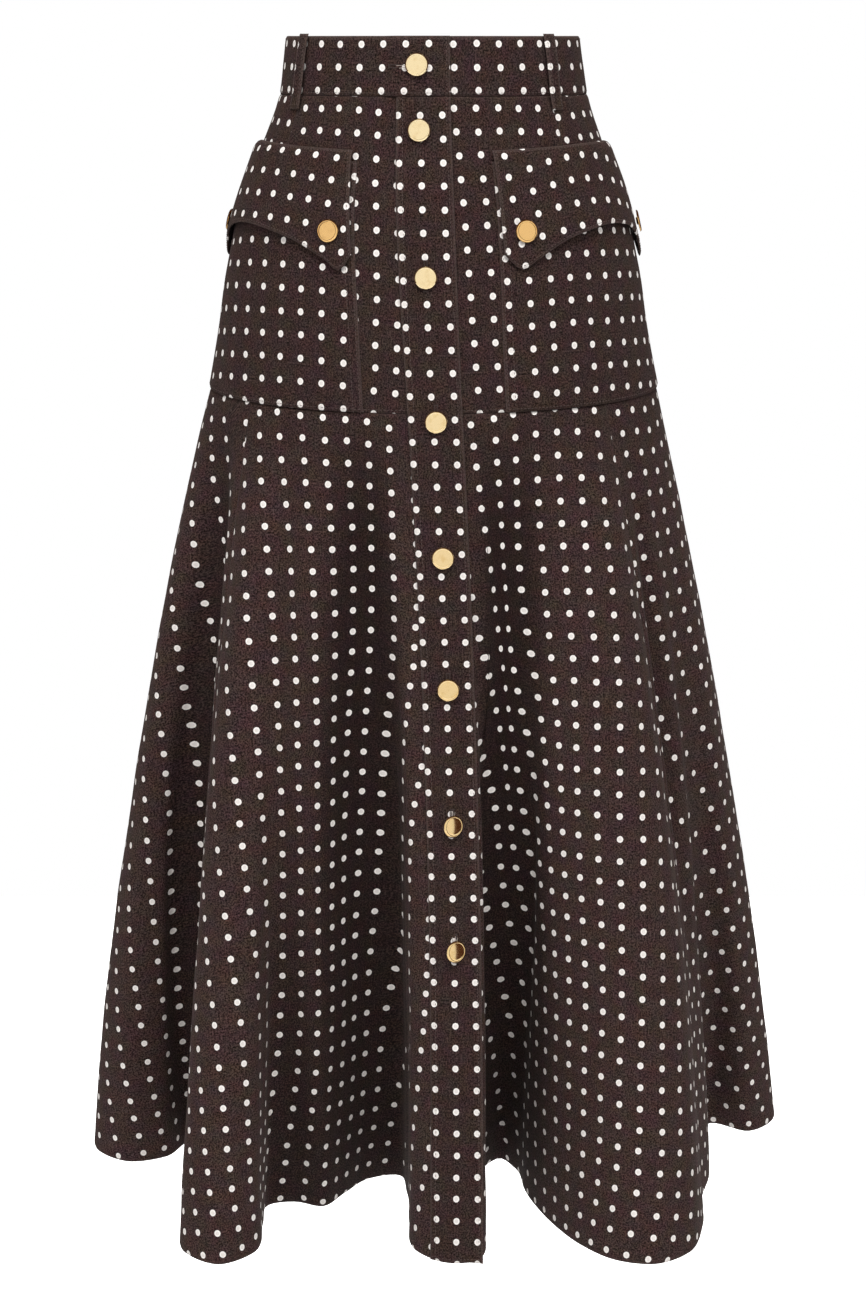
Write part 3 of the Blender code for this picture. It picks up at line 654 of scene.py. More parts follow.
@dataclass
class Sheet:
    """A piece of cloth as a grid of points, rows downwards and columns from left to right."""

    name: str
    outer: Array
    normals: Array
    lay: PrintLay
    edges: tuple[Edge, Edge, Edge, Edge] = (Edge.SEAM,) * 4
    # Painted light and shade: a factor on the ground's tone, lighter on crests and darker in
    # valleys.
    painted_shading: Array | float = 1.0
    softened: float = 6 * MM
    held_edge: float = 14 * MM
    full_trough: float = 12 * MM

    def __post_init__(self) -> None:
        """Measures the cloth, shapes its edges, ripples and creases, and paints shade into its
        creases.
        """
        across = np.linalg.norm(np.diff(self.outer, axis=1), axis=2)
        down = np.linalg.norm(np.diff(self.outer, axis=0), axis=2)
        self.across = np.concatenate([np.zeros((len(across), 1)), across.cumsum(1)], axis=1)
        self.down = np.concatenate([np.zeros((1, down.shape[1])), down.cumsum(0)], axis=0)
        self.far = self.across[:, -1:] - self.across
        self.low = self.down[-1:] - self.down
        self.print_at = self.lay_flat()
        self.pull = self.pulled()
        sides = tuple(zip(self.edges, (self.across, self.far, self.down, self.low)))
        folded, seams = (
            np.max([0 * self.far, *[kind.dip(way) for edge, way in sides if edge is kind]], axis=0)
            for kind in (Edge.FOLDED, Edge.SEAM)
        )
        self.wear = np.max([edge.wear(away) for edge, away in sides], axis=0)
        creased = self.creased()
        # Painted shade: the ground darkens where the creases sink the cloth.
        sunk = np.clip((creased * self.normals).sum(axis=-1) / self.full_trough, -1.0, 0.0)
        self.painted_shading = self.painted_shading * (1.0 + PAINTED_CREASE_SHADE * sunk)
        lift = ripple(self.outer) - seams
        self.inner_base = self.outer + self.normals * lift[..., None] + creased
        self.outer = self.inner_base - self.normals * folded[..., None]

    @property
    def flat_size(self) -> tuple[float, float]:
        """Width and length of the rectangle that the piece is cut from."""
        size = np.ptp(self.flat.reshape(-1, 2), axis=0)
        return float(size[0]), float(size[1])

    @property
    def flat_area(self) -> float:
        """The piece's area as cut, from its flat cells.

        Returns:
            The area in square metres.
        """
        first = self.flat[1:, 1:] - self.flat[:-1, :-1]
        second = self.flat[1:, :-1] - self.flat[:-1, 1:]
        twice = first[..., 0] * second[..., 1] - first[..., 1] * second[..., 0]
        return float(np.abs(twice).sum() / 2)

    def lay_flat(self) -> Array:
        """Unrolls the piece on to the printed cloth, as a fan round its grain line.

        Returns:
            Places on the print, in metres, x across and y up.
        """
        lay = self.lay
        width = self.across[:, -1:]
        length = float(self.down[-1].mean())
        spread = 0.0 if lay.straight else float(width[-1, 0] - width[0, 0]) / length
        above = length * lay.cut_off / (1 - lay.cut_off)
        top = float(width[0, 0]) - spread * above
        fan = spread + lay.fan
        radius = top / (fan if abs(fan) > 1e-3 else 1e-3)
        place = radius + above + self.down
        reach = width.mean() if lay.straight else width
        turned = (self.across / width - lay.grain) * reach / place
        flat = np.stack([place * np.sin(turned), radius - place * np.cos(turned)], axis=-1)
        turn = math.radians(lay.turn_deg)
        cos, sin = math.cos(turn), math.sin(turn)
        self.flat = flat @ np.array([[cos, sin], [-sin, cos]])
        start = np.array([lay.across, lay.down]) * PRINT_PITCH
        stretch = np.array([lay.stretch_across, lay.stretch_down])
        return (self.flat + self.drift(length)) / stretch - start

    def drift(self, length: float) -> Array | float:
        """How far the folds draw the print aside.

        Args:
            length: The piece's mean length.

        Returns:
            Offsets on the print, or nothing.
        """
        if self.name not in PRINT_DRIFT:
            return 0.0
        table = np.array(PRINT_DRIFT[self.name]) * MM
        table = table.reshape(len(table), -1, 2)
        shares = (np.clip(self.down / length, 0, 1), self.across / self.across[:, -1:])
        weights = [
            smooth_through(np.linspace(0, 1, count), np.eye(count), share)
            for count, share in zip(table.shape[:2], shares)
        ]
        return np.einsum("rca,rcb,abk->rck", *weights, table)

    def pulled(self) -> Array:
        """How the print's own distances turn into distances on the hung cloth.

        Returns:
            The three parts of the symmetric metric at each point, so that dots stay round.
        """
        cloth, print_ = (
            np.stack(np.gradient(grid, axis=(1, 0)), axis=-1)
            for grid in (self.outer, self.print_at)
        )
        turn = cloth @ np.linalg.inv(print_ + np.eye(2) * 1e-9)
        metric = 0.15 * np.eye(2) + 0.85 * turn.swapaxes(-1, -2) @ turn
        share, way = np.linalg.eigh(metric)
        metric = (way * np.clip(share, 0.3, 9.0)[..., None, :]) @ way.swapaxes(-1, -2)
        return metric.reshape(*metric.shape[:2], 4)[..., [0, 1, 3]] * (1.15, 1.0, 0.97)

    def creased(self) -> Array:
        """How far and which way this piece's creases move its points, softened along each row.

        Returns:
            A move for each point.
        """
        size = np.array([float(self.across[:, -1].mean()), float(self.down[-1].mean())])
        share_across = np.broadcast_to(self.across[-1:] / self.across[-1, -1], self.across.shape)
        place = np.stack([share_across, self.down / self.down[-1:]], axis=-1) * size
        lift = np.zeros(self.across.shape)
        for crease in CREASES.get(self.name, ()):
            lift += crease.lift(place, size)
        near = np.exp(-(((self.across[:, :, None] - self.across[:, None]) / self.softened) ** 2))
        near *= np.gradient(self.across, axis=1)[:, None]
        near /= near.sum(axis=2, keepdims=True)
        held = np.clip(np.minimum(self.across, self.far) / self.held_edge, 0.0, 1.0)
        lift = (near @ lift[..., None])[..., 0] * ease(held)
        return unit(near @ self.normals) * lift[..., None]

    def line(self, side: Side, distance: float) -> Path:
        """A line on the outer face beside one of the piece's edges.

        Args:
            side: The edge.
            distance: How far the line is from it, in metres.

        Returns:
            The line, from left to right or from top to bottom.
        """
        runs_across, from_end = side.value
        grids = (self.down if runs_across else self.across, self.outer, self.normals)
        arcs, *grids = [grid.swapaxes(0, 1) if runs_across else grid for grid in grids]
        at = arcs[:, -1] - distance if from_end else np.full(len(arcs), distance)
        points, normals = (
            np.array([read_at(*row) for row in zip(at, arcs, grid)]) for grid in grids
        )
        return Path(points, unit(normals))


@dataclass
class Path:
    """A line of points on the cloth with the cloth's outward direction at each."""

    points: Array
    normals: Array

    @staticmethod
    def facing(points: Array, normal: Array) -> Path:
        """A line whose points all face one way."""
        return Path(points, np.tile(normal, (len(points), 1)))

    def raised(self, height: float) -> Path:
        """The same line, moved out by a height."""
        return Path(self.points + self.normals * height, self.normals)

    def turned_in(self, depth: float) -> Path:
        """The same line on the inner side of the cloth."""
        return Path(self.points - self.normals * depth, -self.normals)

    def trimmed(self, start: float, end: float) -> Path:
        """The line without its ends.

        Args:
            start: How much is cut off its start.
            end: How much is cut off its end.

        Returns:
            The shorter line.
        """
        steps = np.linalg.norm(np.diff(self.points, axis=0), axis=1)
        at = np.concatenate([[0.0], steps.cumsum()])
        kept = at[(at > start) & (at < at[-1] - end)]
        wanted = np.concatenate([[start], kept, [at[-1] - end]])
        return Path(read_at(wanted, at, self.points), unit(read_at(wanted, at, self.normals)))


FLOAT, VECTOR = "NodeSocketFloat", "NodeSocketVector"


class Value:
    """What a node puts out, whose arithmetic adds Math nodes."""

    def __init__(self, tree: Tree, socket: bpy.types.NodeSocket) -> None:
        """Notes the tree and the output."""
        self.tree, self.socket = tree, socket

    def __add__(self, other: object) -> Value:
        """The sum."""
        return self.tree.math("ADD", self, other)

    def __sub__(self, other: object) -> Value:
        """The difference."""
        return self.tree.math("SUBTRACT", self, other)

    def __mul__(self, other: object) -> Value:
        """The product."""
        return self.tree.math("MULTIPLY", self, other)

    def __truediv__(self, other: object) -> Value:
        """The quotient."""
        return self.tree.math("DIVIDE", self, other)

    def stretched(self, *shares: float) -> Value:
        """A vector with each part multiplied."""
        return self.tree.vector("MULTIPLY", self, shares)

    def parts(self) -> tuple[Value, Value, Value]:
        """A vector's x, y and z."""
        return self.tree.node("ShaderNodeSeparateXYZ", {0: self}).values


@dataclass
class Made:
    """A node that was just placed, and its outputs."""

    tree: Tree
    node: bpy.types.Node

    @property
    def values(self) -> tuple[Value, ...]:
        """All its outputs."""
        return tuple(Value(self.tree, socket) for socket in self.node.outputs)

    def __getitem__(self, key: int | str) -> Value:
        """One of its outputs."""
        return Value(self.tree, self.node.outputs[key])


@dataclass
class Tree:
    """A node tree that is built by short calls."""

    tree: bpy.types.NodeTree

    def node(
        self, kind: str, feeds: dict[int | str, object] | None = None, **settings: object
    ) -> Made:
        """Places a node.

        Args:
            kind: The node's type.
            feeds: What goes into its inputs, by name or number.
            settings: Its properties.

        Returns:
            The node with its outputs.
        """
        node = self.tree.nodes.new(kind)
        for key, value in settings.items():
            setattr(node, key, value)
        self.feed(node, feeds or {})
        return Made(self, node)

    def feed(self, node: bpy.types.Node, feeds: dict[int | str, object]) -> None:
        """Sets a node's inputs to values, or links them to other nodes' outputs.

        Args:
            node: The node.
            feeds: What goes into its inputs, by name or number.
        """
        for key, value in feeds.items():
            if isinstance(value, Value):
                self.tree.links.new(value.socket, node.inputs[key])
            else:
                node.inputs[key].default_value = value

    def math(self, operation: str, *values: object) -> Value:
        """A Math node's result."""
        return self.node("ShaderNodeMath", dict(enumerate(values)), operation=operation)[0]

    def vector(self, operation: str, *values: object, output: str = "Vector") -> Value:
        """A Vector Math node's result."""
        feeds = dict(enumerate(values))
        return self.node("ShaderNodeVectorMath", feeds, operation=operation)[output]

    def joined(self, *values: Value, kind: str = "ShaderNodeCombineXYZ") -> Value:
        """A vector of two or three parts, or a colour."""
        return self.node(kind, dict(enumerate(values)))[0]

    def attribute(self, name: str, output: str = "Fac") -> Value:
        """What a mesh stores at its points."""
        return self.node("ShaderNodeAttribute", attribute_name=name)[output]

    def noise(
        self, at: Value, scale: float, detail: float = 2.0, rough: float = 0.5, output: str = "Fac"
    ) -> Value:
        """A noise between 0 and 1.

        Args:
            at: Where it is read.
            scale: Its scale per metre.
            detail: Its octaves.
            rough: How strong the finer octaves are.
            output: Whether it's one number or the three of a colour.

        Returns:
            Its value.
        """
        feeds = {"Vector": at, "Scale": scale, "Detail": detail, "Roughness": rough}
        return self.node("ShaderNodeTexNoise", feeds)[output]

    def ramp(
        self, value: Value, low: object, high: object, out_low: float = 0.0, out_high: float = 1.0
    ) -> Value:
        """Maps a range smoothly on to another.

        Args:
            value: What is mapped.
            low: Where the range starts.
            high: Where it ends.
            out_low: What the start becomes.
            out_high: What the end becomes.

        Returns:
            The mapped value.
        """
        feeds = dict(enumerate((value, low, high, out_low, out_high)))
        return self.node("ShaderNodeMapRange", feeds, interpolation_type="SMOOTHSTEP")[0]

    def blend(self, share: Value, first: object, second: object) -> Value:
        """Mixes two colours."""
        return self.node("ShaderNodeMix", {0: share, 6: first, 7: second}, data_type="RGBA")[2]


class Group(Tree):
    """A node group with named sockets."""

    def __init__(
        self,
        name: str,
        inputs: dict[str, tuple[str, object]],
        outputs: dict[str, str],
        kind: str = "ShaderNodeTree",
    ) -> None:
        """Starts the group.

        Args:
            name: The group's name.
            inputs: Each input's name, with its socket type and default.
            outputs: Each output's name, with its socket type.
            kind: The kind of tree.
        """
        super().__init__(bpy.data.node_groups.new(name, kind))
        for key, (socket, default) in inputs.items():
            made = self.tree.interface.new_socket(key, in_out="INPUT", socket_type=socket)
            if default is not None:
                made.default_value = default
        for key, socket in outputs.items():
            self.tree.interface.new_socket(key, in_out="OUTPUT", socket_type=socket)
        self.given = self.node("NodeGroupInput").values

    def close(self, *results: Value) -> bpy.types.NodeTree:
        """Puts the results out, in the order of the outputs."""
        self.node("NodeGroupOutput", dict(enumerate(results)))
        return self.tree


def polka_print() -> bpy.types.NodeTree:
    """Round dots in a square grid, each with a slightly uneven edge and ink.

    Returns:
        The group.
    """
    made = Group(
        "polka_print",
        {
            "Place": (VECTOR, None),
            "Pull": (VECTOR, (1.0, 0.0, 1.0)),
            "Pitch": (FLOAT, PRINT_PITCH),
            "Radius": (FLOAT, DOT_RADIUS),
        },
        {"Dots": FLOAT, "Ink": FLOAT},
    )
    place, pull, pitch, radius, *_ = made.given
    steps = [part / pitch for part in place.parts()[:2]]
    whole = made.joined(*[made.math("ROUND", step) for step in steps])
    chance = made.node("ShaderNodeTexWhiteNoise", {"Vector": whole}, noise_dimensions="2D")["Color"]
    x, y = (
        made.math("FRACT", step + 0.5) - 0.5 + (shift - 0.5) * 0.045
        for step, shift in zip(steps, chance.parts())
    )
    products = made.joined(x * x, x * y, y * y)
    square = made.vector("DOT_PRODUCT", products, pull.stretched(1.0, 2.0, 1.0), output="Value")
    distance = made.math("SQRT", made.math("MAXIMUM", square, 0.0)) * pitch
    ragged = distance + (made.noise(place, 1500.0, 3.0) - 0.5) * (0.9 * MM)
    dots = made.ramp(ragged, radius - 0.22 * MM, radius + 0.22 * MM, 1.0, 0.0)
    rim = made.ramp(distance / radius, 0.40, 0.85, 0.87, 1.03)
    return made.close(dots, rim - made.noise(place, 2400.0) * 0.10)


def plain_weave() -> bpy.types.NodeTree:
    """Warp and weft threads that pass over and under, with slubs and loose fibres.

    Returns:
        The group.
    """
    made = Group(
        "plain_weave",
        {"Place": (VECTOR, None), "Thread": (FLOAT, THREAD_STEP)},
        {"Height": FLOAT, "Slub": FLOAT, "Grain": FLOAT, "Fleck": FLOAT},
    )
    place, thread, *_ = made.given
    wander = made.vector("SUBTRACT", made.noise(place, 260.0, output="Color"), (0.5, 0.5, 0.5))
    bent = made.vector("ADD", place, wander.stretched(*(0.35 * MM,) * 3))
    warp, weft = (made.math("SINE", part * math.pi / thread) for part in bent.parts()[:2])
    under = made.ramp(warp * weft, -0.12, 0.12, 1.0, 0.0)
    threads = made.math("ABSOLUTE", weft) * under
    slub = (
        made.noise(place.stretched(1.0, 24.0, 1.0), 70.0, 3.0, 0.6)
        + made.noise(place.stretched(24.0, 1.0, 1.0), 70.0, 3.0, 0.6)
    ) * 0.5
    speckle = made.noise(place.stretched(1.0, 0.8, 1.0), 850.0, 2.0, 0.8)
    streak = made.noise(place.stretched(1.0, 0.12, 1.0), 760.0, 1.0)
    grain = made.ramp(speckle * 0.88 + streak * 0.12, 0.37, 0.68)
    fluff = made.noise(place.stretched(1.0, 2.6, 1.0), 620.0, 4.0, 0.7)
    return made.close(threads * 0.6 + slub * 1.1, slub, grain, made.ramp(fluff, 0.62, 0.80))


def fine_scuffs() -> bpy.types.NodeTree:
    """Hair-fine polishing marks and soft smudges for metal.

    Returns:
        The group.
    """
    made = Group("fine_scuffs", {"Place": (VECTOR, None)}, {"Marks": FLOAT, "Smudge": FLOAT})
    place = made.given[0]
    marks = made.noise(place.stretched(9.0, 1.0, 1.6), 420.0, 4.0, 0.7)
    return made.close(marks, made.noise(place, 190.0, 3.0, 0.6))


class Surface(Tree):
    """A material under way: its tree, its Principled shader and the pattern's place."""

    def __init__(self, name: str, place: str = "") -> None:
        """Makes the material.

        Args:
            name: The material's name.
            place: The UV map to read, or nothing for Object coordinates.
        """
        self.material = bpy.data.materials.new(name)
        self.material.use_nodes = True
        super().__init__(self.material.node_tree)
        if place:
            self.place = self.node("ShaderNodeUVMap", uv_map=place)[0]
        else:
            self.place = self.node("ShaderNodeTexCoord")["Object"]

    def effect(self, group: bpy.types.NodeTree, **feeds: Value) -> Made:
        """A shared effect, read at the pattern's place."""
        return self.node("ShaderNodeGroup", {"Place": self.place, **feeds}, node_tree=group)

    def shade(
        self, bump: tuple[Value, float, float] | None = None, **feeds: object
    ) -> bpy.types.Material:
        """Feeds the Principled shader.

        Args:
            bump: A height, how deep it is in metres, and how much of it shows.
            feeds: Its inputs, with underscores for spaces.

        Returns:
            The finished material.
        """
        if bump:
            inputs = dict(zip(("Height", "Distance", "Strength"), bump))
            feeds["Normal"] = self.node("ShaderNodeBump", inputs)[0]
        shader = self.tree.nodes["Principled BSDF"]
        self.feed(shader, {key.replace("_", " "): value for key, value in feeds.items()})
        return self.material


@dataclass
class Finishes:
    """All the skirt's materials."""

    def __post_init__(self) -> None:
        """Builds the shared effects and each material once."""
        self.print_, self.weave, self.scuffs = polka_print(), plain_weave(), fine_scuffs()
        self.cloth = self.printed_cloth(
            "printed_cotton_linen", (0.0303, 0.0177, 0.0157), (0.745, 0.700, 0.665), 1.0
        )
        self.wrong_side = self.printed_cloth(
            "printed_cloth_wrong_side", (0.050, 0.035, 0.031), (0.24, 0.20, 0.18), 0.55
        )
        self.thread = self.sewing_thread("topstitch_thread", (0.095, 0.066, 0.057))
        self.buttonhole = self.sewing_thread("buttonhole_thread", (0.050, 0.034, 0.030))
        self.button_thread = self.sewing_thread("button_thread", (0.34, 0.29, 0.26))
        self.overlock = self.sewing_thread("overlock_thread", (0.075, 0.060, 0.055))
        self.brass = self.polished_brass(
            "pale_gold_brass", (0.94, 0.76, 0.45, 1.0), (0.74, 0.48, 0.18, 1.0), 0.10, 0.55
        )
        self.copper = self.polished_brass(
            "copper_gold_brass", (0.84, 0.52, 0.205, 1.0), (0.62, 0.34, 0.12, 1.0), 0.17
        )

    def printed_cloth(self, name: str, ground: Rgb, dots: Rgb, show: float) -> bpy.types.Material:
        """Dark woven cotton and linen with an off-white dot print, rubbed lighter along its edges,
        with painted light on fold crests and painted shade in valleys and creases.

        Args:
            name: The material's name.
            ground: The cloth's red, green and blue.
            dots: The print's red, green and blue.
            show: How much of the print shows.

        Returns:
            The material.
        """
        made = Surface(name, "print")
        weave = made.effect(self.weave)
        print_ = made.effect(self.print_, Pull=made.attribute("pull", "Vector"))
        slubs = made.ramp(weave["Slub"], 0.36, 0.64, 0.84, 1.18)
        # The ground's tone carries the painted light and shade of the folds.
        tone = slubs * (weave["Grain"] * 2.0 + 0.10) * made.attribute("painted_shading")
        tints = made.noise(made.place, 75.0, output="Color").parts()
        shade = [
            tone * made.ramp(tint, 0.2, 0.8, 0.86, 1.14) * share
            for share, tint in zip(ground, tints)
        ]
        shade = made.joined(*shade, kind="ShaderNodeCombineColor")
        linted = made.blend(weave["Fleck"] * 0.20, shade, (0.14, 0.11, 0.098, 1.0))
        fuzz = made.ramp(made.noise(made.place, 900.0, 3.0), 0.35, 0.7, 0.25, 1.0)
        rubbed = made.blend(made.attribute("rub") * fuzz * 0.55, linted, (0.100, 0.072, 0.063, 1.0))
        ink = print_["Ink"] * made.ramp(weave["Grain"], 0.0, 1.0, 0.93, 1.03)
        ink = made.joined(*[ink * share for share in dots], kind="ShaderNodeCombineColor")
        return made.shade(
            (weave["Height"], 0.10 * MM, 0.55),
            Base_Color=made.blend(print_["Dots"] * show, rubbed, ink),
            Roughness=made.ramp(weave["Slub"], 0.3, 0.7, 0.97, 0.86),
            Specular_IOR_Level=0.08,
            Sheen_Weight=0.03,
            Sheen_Roughness=0.55,
            Sheen_Tint=(0.85, 0.72, 0.66, 1.0),
        )

    def sewing_thread(self, name: str, color: Rgb) -> bpy.types.Material:
        """Matt polyester thread, with its twist.

        Args:
            name: The material's name.
            color: Its red, green and blue.

        Returns:
            The material.
        """
        made = Surface(name)
        marks = made.effect(self.scuffs)["Marks"]
        darker = tuple(share * 0.6 for share in color)
        return made.shade(
            (made.noise(made.place, 4200.0, 1.0), 0.05 * MM, 0.5),
            Base_Color=made.blend(marks, (*darker, 1.0), (*color, 1.0)),
            Roughness=0.7,
            Specular_IOR_Level=0.3,
        )

    def polished_brass(
        self, name: str, color: Color, deep: Color, rough: float, deepens: float = 0.0
    ) -> bpy.types.Material:
        """Light gold plate with fine polishing marks, a little tarnish and painted shade low down.

        Args:
            name: The material's name.
            color: The plate's colour.
            deep: The colour of its tarnish and of its painted shade.
            rough: Its roughness.
            deepens: How much painted shade deepens it on the lowest buttons.

        Returns:
            The material.
        """
        made = Surface(name)
        marks = made.effect(self.scuffs)
        # Painted shade: the plate deepens towards the lowest buttons.
        lower = made.ramp(made.place.parts()[2], -0.55, -0.05, deepens, 0.0)
        tarnish_and_shade = made.ramp(marks["Smudge"], 0.45, 0.8, 0.0, 0.35) + lower
        return made.shade(
            (marks["Marks"], 0.02 * MM, 0.25),
            Base_Color=made.blend(tarnish_and_shade, color, deep),
            Roughness=made.ramp(marks["Marks"], 0.25, 0.75, rough - 0.05, rough + 0.07),
            Metallic=1.0,
        )


def add_object(name: str, mesh: bpy.types.Mesh, *materials: bpy.types.Material) -> bpy.types.Object:
    """A new object of the scene with its mesh's materials.

    Args:
        name: The object's name.
        mesh: Its mesh.
        materials: Its materials, in the order of the mesh's slots.

    Returns:
        The object.
    """
    mesh.name = name
    mesh.materials.clear()
    for material in materials:
        mesh.materials.append(material)
    obj = bpy.data.objects.new(name, mesh)
    bpy.context.scene.collection.objects.link(obj)
    return obj


def store(mesh: bpy.types.Mesh, name: str, values: Array) -> None:
    """Stores a number or a vector at each point of a mesh."""
    kind, key = ("FLOAT_VECTOR", "vector") if values.ndim == 2 else ("FLOAT", "value")
    mesh.attributes.new(name, kind, "POINT").data.foreach_set(key, values.ravel())


@dataclass(frozen=True)
class Seam:
    """How a line of thread is sewn."""

    pitch: float = 3.0 * MM
    length: float = 2.3 * MM
    width: float = 0.48 * MM
    turn: float = 0.0
    sunk: float = 0.06 * MM


TOPSTITCH = Seam()
SATIN = Seam(0.42 * MM, 1.7 * MM, 0.40 * MM, math.pi / 2, 0.12 * MM)
OVERLOCK = Seam(1.6 * MM, 4.0 * MM, 0.42 * MM, 1.1, 0.10 * MM)
SHANK_THREAD = Seam(0.5 * MM, 1.3 * MM, 0.55 * MM)


@dataclass
class Stitcher:
    """Lays threads along lines with Geometry Nodes."""

    def __post_init__(self) -> None:
        """Builds the tree and notes the identifiers of its inputs."""
        self.tree = self.build_tree()
        items = self.tree.interface.items_tree
        self.sockets = {item.name: item.identifier for item in items if item.in_out == "INPUT"}

    @staticmethod
    def build_tree() -> bpy.types.NodeTree:
        """One rounded thread at each step of every line, along it or turned across it.

        Returns:
            The tree.
        """
        made = Group(
            "thread_along_line",
            {
                "Lines": ("NodeSocketGeometry", None),
                "Pitch": (FLOAT, 3.0 * MM),
                "Thread Length": (FLOAT, 2.3 * MM),
                "Thread Width": (FLOAT, 0.5 * MM),
                "Turn": (FLOAT, 0.0),
                "Material": ("NodeSocketMaterial", None),
            },
            {"Threads": "NodeSocketGeometry"},
            "GeometryNodeTree",
        )
        lines, pitch, length, width, turn, material, *_ = made.given
        curve = made.node("GeometryNodeMeshToCurve", {0: lines})[0]
        feeds = {"Curve": curve, "Length": pitch}
        steps = made.node("GeometryNodeResampleCurve", feeds, mode="LENGTH")
        thread = made.node("GeometryNodeMeshIcoSphere", {"Radius": 0.5, "Subdivisions": 1})
        tangent = made.node("GeometryNodeInputTangent")[0]
        along = made.node("FunctionNodeAlignRotationToVector", {"Vector": tangent}, axis="X")
        feeds = {"Name": "outward"}
        outward = made.node("GeometryNodeInputNamedAttribute", feeds, data_type="FLOAT_VECTOR")
        feeds = {"Rotation": along[0], "Vector": outward["Attribute"]}
        facing = made.node("FunctionNodeAlignRotationToVector", feeds, axis="Z", pivot_axis="X")
        slant, uneven = (
            made.node("FunctionNodeRandomValue", {2: low, 3: high, 8: seed}, data_type="FLOAT")[1]
            for low, high, seed in ((-0.07, 0.07, 11), (0.88, 1.08, 23))
        )
        feeds = {"Axis": (0.0, 0.0, 1.0), "Angle": turn + slant}
        spin = made.node("FunctionNodeAxisAngleToRotation", feeds)
        feeds = {"Rotation": facing[0], "Rotate By": spin[0]}
        turned = made.node("FunctionNodeRotateRotation", feeds, rotation_space="LOCAL")
        size = made.joined(length * uneven, width, width * 0.8)
        feeds = {"Points": steps[0], "Instance": thread[0], "Rotation": turned[0], "Scale": size}
        last = made.node("GeometryNodeInstanceOnPoints", feeds)[0]
        for kind in ("GeometryNodeRealizeInstances", "GeometryNodeSetShadeSmooth"):
            last = made.node(kind, {0: last})[0]
        return made.close(made.node("GeometryNodeSetMaterial", {0: last, "Material": material})[0])

    def sew(
        self, name: str, paths: list[Path], material: bpy.types.Material, seam: Seam
    ) -> bpy.types.Object:
        """Threads along some lines, as one plain mesh.

        Args:
            name: The object's name.
            paths: The lines.
            material: The thread's material.
            seam: The size of its stitches.

        Returns:
            The object.
        """
        points, edges, outward = [], [], []
        for path in paths:
            start = len(points)
            points += path.raised(seam.sunk).points.tolist()
            outward += path.normals.tolist()
            edges += [(start + i, start + i + 1) for i in range(len(path.points) - 1)]
        mesh = bpy.data.meshes.new(name + "_lines")
        mesh.from_pydata(points, edges, [])
        store(mesh, "outward", np.array(outward))
        guide = bpy.data.objects.new(name + "_guide", mesh)
        bpy.context.scene.collection.objects.link(guide)
        threads = guide.modifiers.new("threads", "NODES")
        threads.node_group = self.tree
        names = ("Pitch", "Thread Length", "Thread Width", "Turn", "Material")
        for key, value in zip(names, (seam.pitch, seam.length, seam.width, seam.turn, material)):
            threads[self.sockets[key]] = value
        evaluated = guide.evaluated_get(bpy.context.evaluated_depsgraph_get())
        made = bpy.data.meshes.new_from_object(evaluated)
        bpy.data.objects.remove(guide, do_unlink=True)
        return add_object(name, made, material)


